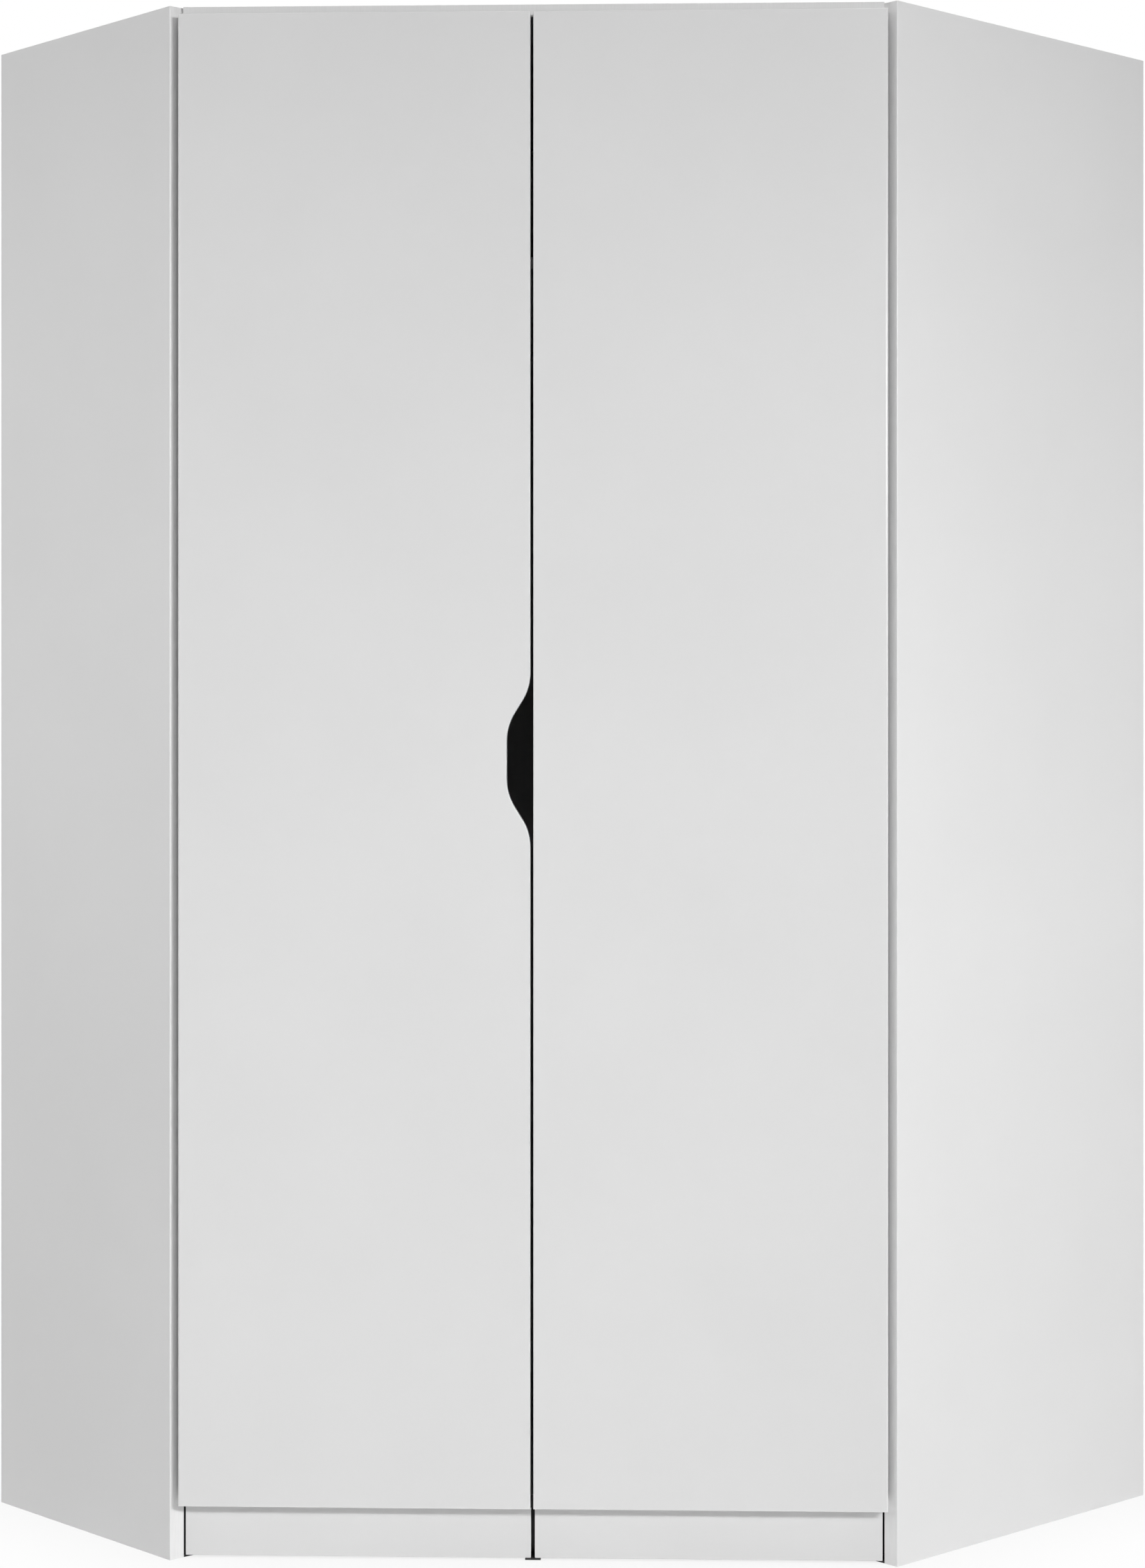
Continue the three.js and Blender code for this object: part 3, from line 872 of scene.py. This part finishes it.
@dataclass
class Carcass:
    """The boards of the cabinet: sides, top, bottom, hat shelf and the rear corner post."""

    body: str = "carcass"
    band_depth: float = 2 * MM  # how far behind the front edge the band and its rounding reach
    groove_depth: float = 7 * MM
    front_arris: float = 0.6 * MM
    lip_depth: float = 5 * MM  # the ends of a board's front edge, banded too
    bore_radius: float = 2.5 * MM
    bore_depth: float = 12 * MM
    bore_pitch: float = 32 * MM
    front_row: float = 37 * MM
    rear_row: float = 62 * MM  # in front of the side's rear edge
    bore_groups: tuple[float, ...] = (352 * MM, 864 * MM, 1408 * MM)  # the lowest bore of each
    bores_in_group: int = 5
    cam_inset: float = 34 * MM
    cam_front: float = 110 * MM  # from the side's front edge
    cam_rear: float = 90 * MM  # in front of the wall
    side_depths: tuple[tuple[Side, float], ...] = ((Side.LEFT, 395 * MM), (Side.RIGHT, 520 * MM))

    def build(self) -> None:
        """Builds and dresses all the boards."""
        for side, depth in self.side_depths:
            self.side_board(side, depth)
            self.post_board(side, depth)
        self.flat_board("top_panel", "top_board", FACING)
        self.flat_board("bottom_panel", "bottom_board", INNER_FACING)
        self.flat_board("hat_shelf", "hat_board", INNER_FACING)
        self.cams()

    def side_board(self, side: Side, depth: float) -> None:
        """Builds a side with its banded front edge, sawn rear edges and rows of bores.

        Args:
            side: which side.
            depth: its length from the front edge to the wall.
        """
        node = f"side_panel_{side.value}"
        board = board_from(node, f"side_board_{side.value}")
        give(board, FACING)
        give(board, CORE, lambda middle, normal: self.is_sawn(side, middle))
        give(board, BAND, lambda middle, normal: self.is_banded(side, middle, normal))
        combine(board, self.bore_cutter(side, depth), "DIFFERENCE", material_mode="TRANSFER")
        soften(board)
        mount(board, self.body, FACING, node)

    def is_banded(self, side: Side, middle: Vector, normal: Vector) -> bool:
        """Tells whether a face of a side is its front edge or that edge's rounding."""
        along = PLAN.coordinates(side, middle)[0]
        return along < self.band_depth and normal.dot(side.along) < -0.05

    def is_sawn(self, side: Side, middle: Vector) -> bool:
        """Tells whether a face of a side lies between its two facings, as its edges do."""
        inward = PLAN.coordinates(side, middle)[1]
        return abs(inward - PLAN.side_thickness / 2) < (PLAN.side_thickness - self.groove_depth) / 2

    def bore_cutter(self, side: Side, depth: float) -> Piece:
        """Models the drills of one side's two rows of bores.

        Args:
            side: which side.
            depth: its length from the front edge to the wall.

        Returns:
            The cutter, which brings the sawn core to what it cuts.
        """
        deselect_all()
        bpy.ops.mesh.primitive_cylinder_add(
            vertices=16, radius=self.bore_radius, depth=2 * self.bore_depth
        )
        drill = latest()
        drill.data.materials.append(CORE.material())
        places = [
            facing(PLAN.point(side, along, PLAN.side_thickness, start + i * self.bore_pitch), side.inward)
            for along in (self.front_row, depth - self.rear_row)
            for start in self.bore_groups
            for i in range(self.bores_in_group)
        ]
        drills = [copy_to(drill, place) for place in places]
        discard(drill)
        return join(drills, f"bore_cutter_{side.value}")

    def post_board(self, side: Side, depth: float) -> None:
        """Builds one board of the corner post.

        Args:
            side: the side that the board stands parallel across from.
            depth: the length of that side.
        """
        node = f"corner_post_{side.value}"
        board = board_from(node, f"post_board_{side.value}")
        give(board, INNER_FACING)
        give(board, CORE, lambda middle, normal: self.is_bare(side, depth, middle, normal))
        soften(board)
        mount(board, self.body, INNER_FACING, node)

    def is_bare(self, side: Side, depth: float, middle: Vector, normal: Vector) -> bool:
        """Tells whether a face of a post board is an edge or lies inside its groove."""
        behind = depth - PLAN.coordinates(side, middle)[0]
        return 1 * MM < behind < PLAN.side_thickness - 1 * MM or abs(normal.dot(side.along)) < 0.9

    def flat_board(self, node: str, name: str, finish: Finish) -> None:
        """Builds a level board with a banded front edge and sawn other edges.

        Args:
            node: the CAD node that gives its shape.
            name: the new piece's name.
            finish: the finish of its faces.
        """
        board = board_from(node, name)
        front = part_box(node)[0].y
        round_edges(
            board,
            self.front_arris,
            2,
            lambda a, b: max(a.y, b.y) < front + TINY and abs(a.z - b.z) < TINY,
        )
        give(board, finish)
        give(board, CORE, lambda middle, normal: abs(normal.z) < 0.1)
        lip = front + self.lip_depth
        give(board, BAND, lambda middle, normal: abs(normal.z) < 0.9 and middle.y < lip)
        soften(board)
        mount(board, self.body, finish, node)

    def cams(self) -> None:
        """Fits the cam fasteners that pull the bottom board and the hat shelf to the sides."""
        master = RoundHead("cam", 7.5 * MM, 0.8 * MM, Drive.WIDE_CROSS, CAST_ZINC, crown=0.4).make()
        inward = PLAN.side_thickness + self.cam_inset
        for node in ("bottom_panel", "hat_shelf"):
            _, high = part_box(node)
            places = [
                facing(PLAN.point(side, along, inward, high.z), UP, 20)
                for side, depth in self.side_depths
                for along in (self.cam_front, depth - self.cam_rear)
            ]
            set_of(master, places, f"cams_{node}", self.body, CAST_ZINC)
        discard(master)


# ---- Backs


@dataclass
class Backs:
    """The four back sheets in their grooves and the two profiles that join them."""

    body: str = "carcass"
    arris: float = 0.4 * MM

    def build(self) -> None:
        """Builds the sheets, lacquered inside in a grey that paints the shade inside the cabinet, and
        bare towards the wall.
        """
        for side in Side:
            for part in ("outer", "inner"):
                self.sheet(side, part)
            dress(WHITE_PLASTIC, f"back_profile_{side.value}")

    def sheet(self, side: Side, part: str) -> None:
        """Builds one sheet.

        Args:
            side: the side that it stands across from.
            part: outer, next to the side, or inner, next to the post.
        """
        node = f"back_sheet_{side.value}_{part}"
        sheet = board_from(node, f"hardboard_{side.value}_{part}")
        round_edges(sheet, self.arris, 1)
        give(sheet, HARDBOARD)
        give(sheet, LACQUER_GREYED_AS_SHADE, lambda middle, normal: normal.dot(side.along) < -0.9)
        mount(sheet, self.body, HARDBOARD, node)


# ---- Plinth


@dataclass
class Plinth:
    """The two plinth boards, the plate behind their joint, its feet and the brackets, with black pieces
    that paint the shade in the gaps.
    """

    screw: Piece  # the master of a wood screw's head
    body: str = "carcass"
    arris: float = 0.8 * MM
    bracket_sheet: float = 2 * MM
    bracket_screw_drop: float = 20 * MM
    # the feet are real parts, and their black is partly painted shade in the plinth's end gaps and under
    # its ends
    foot_width: float = 30 * MM
    foot_depth: float = 28 * MM
    foot_height: float = 69.4 * MM
    foot_clearance: float = 0.3 * MM
    foot_back: float = 24.5 * MM  # how far the foot's block stands behind the side's front edge
    toe_height: float = 2.6 * MM
    # the black pad under the plinth's joint is painted shade
    shade_pad_size: Triple = (20 * MM, 30 * MM, 2.6 * MM)
    shade_pad_front: float = 16.5 * MM
    # the black strip behind the doors' gap is painted shade; its sizes follow
    shade_strip_width: float = 30 * MM
    shade_strip_sheet: float = 1.2 * MM
    shade_strip_gap: float = 0.3 * MM
    moulded_arris: float = 0.4 * MM

    def build(self) -> None:
        """Builds the boards and the black mouldings, some of them painted shade in the gaps, and fixes
        the brackets.
        """
        foot = self.foot()
        for side in Side:
            self.board(side)
            self.bracket(side)
            self.end_foot(side, foot)
        discard(foot)
        self.lay_joint_shade_pad()
        self.lay_shade_strip()
        # the joiner plate and the centre foot are black, partly painted shade seen through the plinth's
        # joint
        dress(BLACK_PLASTIC_AND_SHADE, "plinth_joiner", "centre_foot")

    def board(self, side: Side) -> None:
        """Builds one plinth board, banded on the edges that show.

        Args:
            side: which half.
        """
        node = f"plinth_{side.value}"
        board = board_from(node, f"plinth_board_{side.value}")
        round_edges(board, self.arris, 3)
        give(board, FACING)
        give(board, BAND, lambda middle, normal: abs(normal.y) < 0.999)
        give(board, CORE, lambda middle, normal: normal.z > 0.9)
        soften(board)
        mount(board, self.body, FACING, node)

    def bracket(self, side: Side) -> None:
        """Dresses a bracket and screws it to the plinth and the bottom board.

        Args:
            side: which half.
        """
        node = f"plinth_bracket_{side.value}"
        dress(ZINC, node)
        low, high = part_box(node)
        middle = (low + high) / 2
        upright = Vector((middle.x, low.y + self.bracket_sheet, high.z - self.bracket_screw_drop))
        flat = Vector((middle.x, low.y + self.bracket_screw_drop, high.z - self.bracket_sheet))
        places = [facing(upright, REARWARD, 30), facing(flat, DOWN, 10)]
        set_of(self.screw, places, f"plinth_bracket_screws_{side.value}", self.body, SCREW_ZINC)

    def foot(self) -> Piece:
        """Moulds the foot that stands behind an end of the plinth, with a flat toe under that end; its
        black is partly painted shade in the plinth's end gap and under that end.

        Returns:
            The master: its width centred on the origin, and the side's front edge in the plane y = 0.
        """
        behind = Vector((0.0, self.foot_back + self.foot_depth / 2, 0.0))
        foot = self.block("foot", (self.foot_width, self.foot_depth, self.foot_height), behind)
        with editing(foot):
            bpy.ops.mesh.select_all(action="SELECT")
            bpy.ops.mesh.bisect(plane_co=(0.0, 0.0, self.toe_height), plane_no=UP)
            pick_faces(foot, lambda middle, normal: normal.y < -0.9 and middle.z < self.toe_height)
            reach = self.foot_clearance - self.foot_back
            bpy.ops.mesh.extrude_region_move(TRANSFORM_OT_translate={"value": (0.0, reach, 0.0)})
        self.finish_moulding(foot)
        return foot

    def block(self, name: str, size: Triple, place: Vector) -> Piece:
        """Starts a moulding as a plain block.

        Args:
            name: the block's name.
            size: its width, depth and height.
            place: the middle of its base.

        Returns:
            The block.
        """
        deselect_all()
        middle = place + UP * size[2] / 2
        bpy.ops.mesh.primitive_cube_add(size=1.0, location=middle, scale=size)
        block = latest()
        block.name = block.data.name = name
        bpy.ops.object.transform_apply(location=True, rotation=True, scale=True)
        return block

    def finish_moulding(self, block: Piece) -> None:
        """Rounds the edges of a moulding and gives it its plastic.

        Args:
            block: the moulding.
        """
        round_edges(block, self.moulded_arris, 2)
        give(block, BLACK_PLASTIC_AND_SHADE)
        soften(block)

    def end_foot(self, side: Side, foot: Piece) -> None:
        """Stands a foot against the inner face of one side.

        Args:
            side: which side.
            foot: the master of the foot.
        """
        inward = PLAN.side_thickness + self.foot_clearance + self.foot_width / 2
        turn = math.atan2(side.along.y, side.along.x) - math.pi / 2
        place = Matrix.Translation(PLAN.point(side, 0.0, inward)) @ Matrix.Rotation(turn, 4, "Z")
        set_of(foot, [place], f"plinth_foot_and_shade_{side.value}", self.body, BLACK_PLASTIC_AND_SHADE)

    def lay_joint_shade_pad(self) -> None:
        """Lays a black pad on the floor under the joint of the two plinth boards, as painted shade seen
        through that joint.
        """
        middle = PLAN.front(0.0, self.shade_pad_front + self.shade_pad_size[1] / 2, 0.0)
        shade_pad = self.block("plinth_joint_shade_pad", self.shade_pad_size, middle)
        self.finish_moulding(shade_pad)
        mount(shade_pad, self.body, BLACK_PLASTIC_AND_SHADE)

    def lay_shade_strip(self) -> None:
        """Sets a black strip on the middle of the bottom board's front edge, behind the doors' gap, as
        painted shade in that gap.
        """
        low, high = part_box("bottom_panel")
        size = (self.shade_strip_width, self.shade_strip_sheet, high.z - low.z)
        middle = Vector((PLAN.middle[0], low.y - self.shade_strip_gap - self.shade_strip_sheet / 2, low.z))
        shade_strip = self.block("painted_shade_strip", size, middle)
        self.finish_moulding(shade_strip)
        mount(shade_strip, self.body, BLACK_PLASTIC_AND_SHADE)


# ---- Doors


@dataclass
class Doors:
    """The two flush doors, faced, banded all round and bored for their hinge cups."""

    bore_reach: float = 18.2 * MM  # a little over the cup bores' radius
    front_skin: float = 1.5 * MM  # no face nearer to the door's front is in a bore

    def build(self) -> None:
        """Builds both doors."""
        for side in Side:
            self.door(side)

    def door(self, side: Side) -> None:
        """Builds one door.

        Args:
            side: the side that it hangs on.
        """
        node = f"door_{side.value}"
        slab = board_from(node, f"door_slab_{side.value}")
        give(slab, FACING)
        give(slab, BAND, lambda middle, normal: abs(normal.y) < 0.999)
        # painted shade: the hinge edges take the darker copy of the band
        give(slab, SHADED_HINGE_BAND, lambda middle, normal: side.hand * normal.x > 0.04)
        give(slab, CORE, lambda middle, normal: self.in_bore(side, middle))
        soften(slab)
        mount(slab, side.door, FACING, node)

    def in_bore(self, side: Side, middle: Vector) -> bool:
        """Tells whether a face lies in one of the cup bores.

        Args:
            side: the side that the door hangs on.
            middle: the middle of the face.

        Returns:
            Whether it does.
        """
        low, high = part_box(f"door_{side.value}")
        if middle.y < low.y + self.front_skin or middle.y > high.y - TINY:
            return False
        across = middle.x - PLAN.middle[0] - side.hand * PLAN.cups
        heights = (Hinges.height(side, number) for number in Hinges.numbers)
        return any(math.hypot(across, middle.z - height) < self.bore_reach for height in heights)


# ---- Hinges


@dataclass
class Hinges:
    """The concealed hinges: cups in the doors, arms and plates on the sides, and their screws."""

    screw: Piece  # the master of a wood screw's head
    numbers: ClassVar[range] = range(1, 5)
    flange_top: float = 1.3 * MM  # over the door's back
    flange_screw_in: float = 11.8 * MM
    flange_screw_up: float = 21.2 * MM
    plate_screw_along: float = 37 * MM
    plate_screw_up: float = 18 * MM
    wing_top: float = 24.3 * MM
    channel_top: float = 29.8 * MM
    arm_screws: tuple[float, ...] = (24 * MM, 48 * MM)

    def build(self) -> None:
        """Dresses the hinges and sets their screws."""
        adjuster = RoundHead("adjuster", 3.4 * MM, 1.3 * MM, Drive.SMALL_CROSS, NICKEL, crown=0.4).make()
        for side in Side:
            for number in self.numbers:
                name = f"hinge_{side.value}_{number}"
                dress(NICKEL, f"{name}_cup", f"{name}_arm")
                dress(CAST_ZINC, f"{name}_plate")
                self.screws(side, number, adjuster)
        discard(adjuster)

    @staticmethod
    def height(side: Side, number: int) -> float:
        """How high the middle of one hinge lies."""
        low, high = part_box(f"hinge_{side.value}_{number}_plate")
        return (low.z + high.z) / 2

    def screws(self, side: Side, number: int, adjuster: Piece) -> None:
        """Sets the screws of one hinge.

        Args:
            side: the side that the hinge is on.
            number: the hinge's number, from below.
            adjuster: the master of an adjusting screw's head.
        """
        name = f"hinge_{side.value}_{number}"
        height = self.height(side, number)
        across = side.hand * (PLAN.cups - self.flange_screw_in)
        flange = PLAN.door_back + self.flange_top
        cup_places = [
            facing(PLAN.front(across, flange, height + up), REARWARD, 25 + up / MM)
            for up in (-self.flange_screw_up, self.flange_screw_up)
        ]
        set_of(self.screw, cup_places, f"{name}_cup_screws", side.door, SCREW_ZINC)
        along, inward = self.plate_screw_along, self.wing_top
        plate_places = [
            facing(PLAN.point(side, along, inward, height + up), side.inward, 40 + up / MM)
            for up in (-self.plate_screw_up, self.plate_screw_up)
        ]
        set_of(self.screw, plate_places, f"{name}_plate_screws", "carcass", SCREW_ZINC)
        arm_places = [
            facing(PLAN.point(side, along, self.channel_top, height), side.inward, along / MM)
            for along in self.arm_screws
        ]
        set_of(adjuster, arm_places, f"{name}_arm_screws", "carcass", NICKEL)


# ---- Fittings inside the cabinet


@dataclass
class Fittings:
    """The shelf supports, the clothes rail and its hangers, the wall angles and the door buffers."""

    screw: Piece  # the master of a wood screw's head
    body: str = "carcass"
    support_depth: float = 12 * MM
    hanger_plate: float = 3 * MM
    hanger_screw_in: float = 14 * MM  # outward from the plate's inner end
    hanger_screws: Pair = (-11 * MM, 11 * MM)  # from the plate's middle line
    angle_sheet: float = 2 * MM
    angle_reach: float = 20 * MM  # from the angle's middle to its face on the back
    angle_screw_drop: float = 40 * MM
    angle_screw_in: float = 26 * MM

    def build(self) -> None:
        """Dresses the fittings and sets their screws."""
        dress(CHROME, "clothes_rail")
        for side in Side:
            dress(BUFFER, f"door_buffer_{side.value}")
            self.hanger(side)
            self.supports(side)
            self.wall_angle(side)

    def hanger(self, side: Side) -> None:
        """Screws one rail hanger under the hat shelf.

        Args:
            side: which end of the rail.
        """
        node = f"rail_hanger_{side.value}"
        dress(ZINC, node)
        low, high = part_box(node)
        inner = high.x if side is Side.LEFT else low.x
        across = inner + side.hand * self.hanger_screw_in
        middle = (low.y + high.y) / 2
        places = [
            facing(Vector((across, middle + offset, high.z - self.hanger_plate)), DOWN, 15)
            for offset in self.hanger_screws
        ]
        set_of(self.screw, places, f"{node}_screws", self.body, SCREW_ZINC)

    def supports(self, side: Side) -> None:
        """Screws the three shelf supports of one side.

        Args:
            side: which side.
        """
        places = []
        for part in ("front", "rear", "post"):
            node = f"shelf_support_{side.value}_{part}"
            dress(WHITE_PLASTIC, node)
            low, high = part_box(node)
            middle = (low + high) / 2
            out = -side.along if part == "post" else side.inward
            places.append(facing(middle + out * self.support_depth / 2, out, 35))
        set_of(self.screw, places, f"shelf_support_screws_{side.value}", self.body, SCREW_ZINC)

    def wall_angle(self, side: Side) -> None:
        """Screws one wall angle to the back and to the top board.

        Args:
            side: the side that its back stands across from.
        """
        node = f"wall_angle_{side.value}"
        dress(ZINC, node)
        low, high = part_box(node)
        along, inward = PLAN.coordinates(side, (low + high) / 2)
        rear = along + self.angle_reach
        upright = PLAN.point(side, rear - self.angle_sheet, inward, high.z - self.angle_screw_drop)
        flat = PLAN.point(side, rear - self.angle_screw_in, inward, high.z - self.angle_sheet)
        places = [facing(upright, -side.along, 12), facing(flat, DOWN, 50)]
        set_of(self.screw, places, f"{node}_screws", self.body, SCREW_ZINC)


# ---- Studio


@dataclass(frozen=True)
class SoftBox:
    """A lamp of the studio: a flat panel that shines one way."""

    name: str
    place: Triple
    aim: Triple
    size: Pair
    power: float
    spread: float = 180.0  # degrees across its beam

    def hang(self) -> None:
        """Hangs the lamp."""
        deselect_all()
        bpy.ops.object.light_add(type="AREA", location=self.place)
        lamp = latest()
        lamp.name = self.name
        lamp.rotation_euler = (Vector(self.aim) - Vector(self.place)).to_track_quat("-Z", "Y").to_euler()
        lamp.data.shape = "RECTANGLE"
        lamp.data.size, lamp.data.size_y = self.size
        lamp.data.energy = self.power
        lamp.data.spread = math.radians(self.spread)


@dataclass
class Studio:
    """The pale floor, the lamps, the white surroundings and the camera."""

    camera_place: Triple = (0.1315, -4.4118, 1.081)
    camera_turn: float = 1.844  # degrees to the left
    lens: float = 69.632
    sensor: float = 36.0
    rise: float = -0.04338  # the frame's shift, as a share of its long side
    floor_size: float = 40.0
    floor_colour: str = "#f4f4f4"
    floor_glow: float = 0.97  # how much of its own white the floor shows near the object
    fade: Pair = (1.2, 3.2)  # where the floor's own white grows to the full
    contact_glow: float = 0.78  # the share of it that is left where the object meets the floor
    contact_reach: float = 0.16  # how far from the object that shade reaches
    surroundings: float = 0.17  # how brightly they light the object
    reflected: float = 0.5  # how bright the surroundings are in what the surfaces reflect
    lamps: tuple[SoftBox, ...] = (
        SoftBox("key", (2.53, -4.36, 2.05), (-1.46, -0.56, 0.2), (0.32, 0.32), 8.9, 74.0),
        SoftBox("left_fill", (-4.0, -2.0, 1.0), (-0.5, -0.4, 0.9), (1.6, 1.6), 15.2),
        SoftBox("left_high", (-4.2, -0.8, 1.9), (-0.3, -0.4, 1.1), (2.0, 2.0), 5.9, 68.0),
        SoftBox("front_fill", (2.1, -4.7, 2.2), (-0.8, -0.56, 0.3), (0.5, 0.5), 20.0, 100.0),
        SoftBox("front_wash", (0.9, -4.8, 2.2), (0.0, -0.56, 0.3), (0.5, 0.5), 5.9, 140.0),
        SoftBox("front_left", (-2.4, -4.6, 2.4), (-0.3, -0.56, 1.2), (0.8, 0.8), 7.5, 120.0),
        SoftBox("right_fill", (4.2, -0.8, 1.9), (0.6, -0.3, 1.2), (1.6, 1.6), 22.9),
        SoftBox("right_low", (4.26, -0.8, 0.4), (0.5, -0.3, -0.22), (1.6, 1.6), 4.9, 78.0),
        SoftBox("back_light", (0.0, 3.4, 4.2), (0.0, 0.3, 1.0), (2.0, 2.0), 5.5, 60.0),
        SoftBox("top_light", (0.0, 0.05, 3.6), (0.0, 0.05, 0.0), (1.0, 0.6), 1.3, 30.0),
    )

    def build(self) -> None:
        """Builds the studio."""
        self.floor()
        self.world()
        for lamp in self.lamps:
            lamp.hang()
        self.camera()
        bpy.context.scene.view_settings.view_transform = "Standard"

    def seen(self, tree: Tree) -> Socket:
        """Adds the test for rays that show the surroundings: those of the camera, also through glass."""
        rays = add_node(tree, "ShaderNodeLightPath").outputs
        return computed(tree, "MAXIMUM", rays["Is Camera Ray"], rays["Is Transmission Ray"])

    def world(self) -> None:
        """Makes the surroundings: plain light on the object, and white where they are seen."""
        world = bpy.data.worlds.new("studio surroundings")
        bpy.context.scene.world = world
        tree = fresh_tree(world)
        glossy = add_node(tree, "ShaderNodeLightPath").outputs["Is Glossy Ray"]
        strength = mapped(tree, glossy, self.surroundings, self.reflected)
        light = add_node(tree, "ShaderNodeBackground", {"Color": WHITE, "Strength": strength})
        white = add_node(tree, "ShaderNodeBackground", {"Color": WHITE, "Strength": 1.0})
        shaders = {0: self.seen(tree), 1: light.outputs[0], 2: white.outputs[0]}
        both = add_node(tree, "ShaderNodeMixShader", shaders)
        add_node(tree, "ShaderNodeOutputWorld", {"Surface": both.outputs[0]})

    def floor(self) -> None:
        """Lays the floor: pale and matt, white to the eye, with the object's shadow kept on it."""
        deselect_all()
        bpy.ops.mesh.primitive_plane_add(size=self.floor_size)
        floor = latest()
        floor.name = "studio_floor"
        material = bpy.data.materials.new("studio floor, matt paint")
        tree = fresh_tree(material)
        matt = {"Base Color": linear(self.floor_colour), "Roughness": 0.9}
        paint = add_node(tree, "ShaderNodeBsdfPrincipled", matt)
        away = add_node(tree, "ShaderNodeVectorMath", {0: coordinates(tree)}, operation="LENGTH")
        near, far = self.fade
        reach = {
            "Value": away.outputs["Value"],
            "From Min": near,
            "From Max": far,
            "To Min": self.floor_glow,
            "To Max": 1.0,
        }
        fade = add_node(tree, "ShaderNodeMapRange", reach, interpolation_type="SMOOTHSTEP")
        hidden = add_node(tree, "ShaderNodeAmbientOcclusion", {"Distance": self.contact_reach})
        open_air = mapped(tree, hidden.outputs["AO"], self.contact_glow)
        shown = computed(tree, "MULTIPLY", fade.outputs["Result"], open_air)
        amount = computed(tree, "MULTIPLY", shown, self.seen(tree))
        glow = add_node(tree, "ShaderNodeEmission", {"Color": WHITE, "Strength": 1.0})
        shaders = {0: amount, 1: paint.outputs[0], 2: glow.outputs[0]}
        both = add_node(tree, "ShaderNodeMixShader", shaders)
        add_node(tree, "ShaderNodeOutputMaterial", {"Surface": both.outputs[0]})
        floor.data.materials.append(material)

    def camera(self) -> None:
        """Sets the camera where the photograph was taken from."""
        deselect_all()
        bpy.ops.object.camera_add(
            location=self.camera_place, rotation=(math.pi / 2, 0.0, math.radians(self.camera_turn))
        )
        camera = latest()
        camera.name = "studio_camera"
        camera.data.lens = self.lens
        camera.data.sensor_width = self.sensor
        camera.data.sensor_fit = "AUTO"
        camera.data.shift_y = self.rise
        bpy.context.scene.camera = camera


# ---- The whole


def main() -> None:
    """Builds the studio and every sub-assembly in order."""
    logging.basicConfig(level=logging.INFO, format="%(message)s")
    Studio().build()
    screw = RoundHead("wood_screw", 3.2 * MM, 1.5 * MM, Drive.SMALL_CROSS, SCREW_ZINC, crown=0.6).make()
    Carcass().build()
    Backs().build()
    Plinth(screw).build()
    Doors().build()
    Hinges(screw).build()
    Fittings(screw).build()
    discard(screw)


if __name__ == "__main__":
    main()
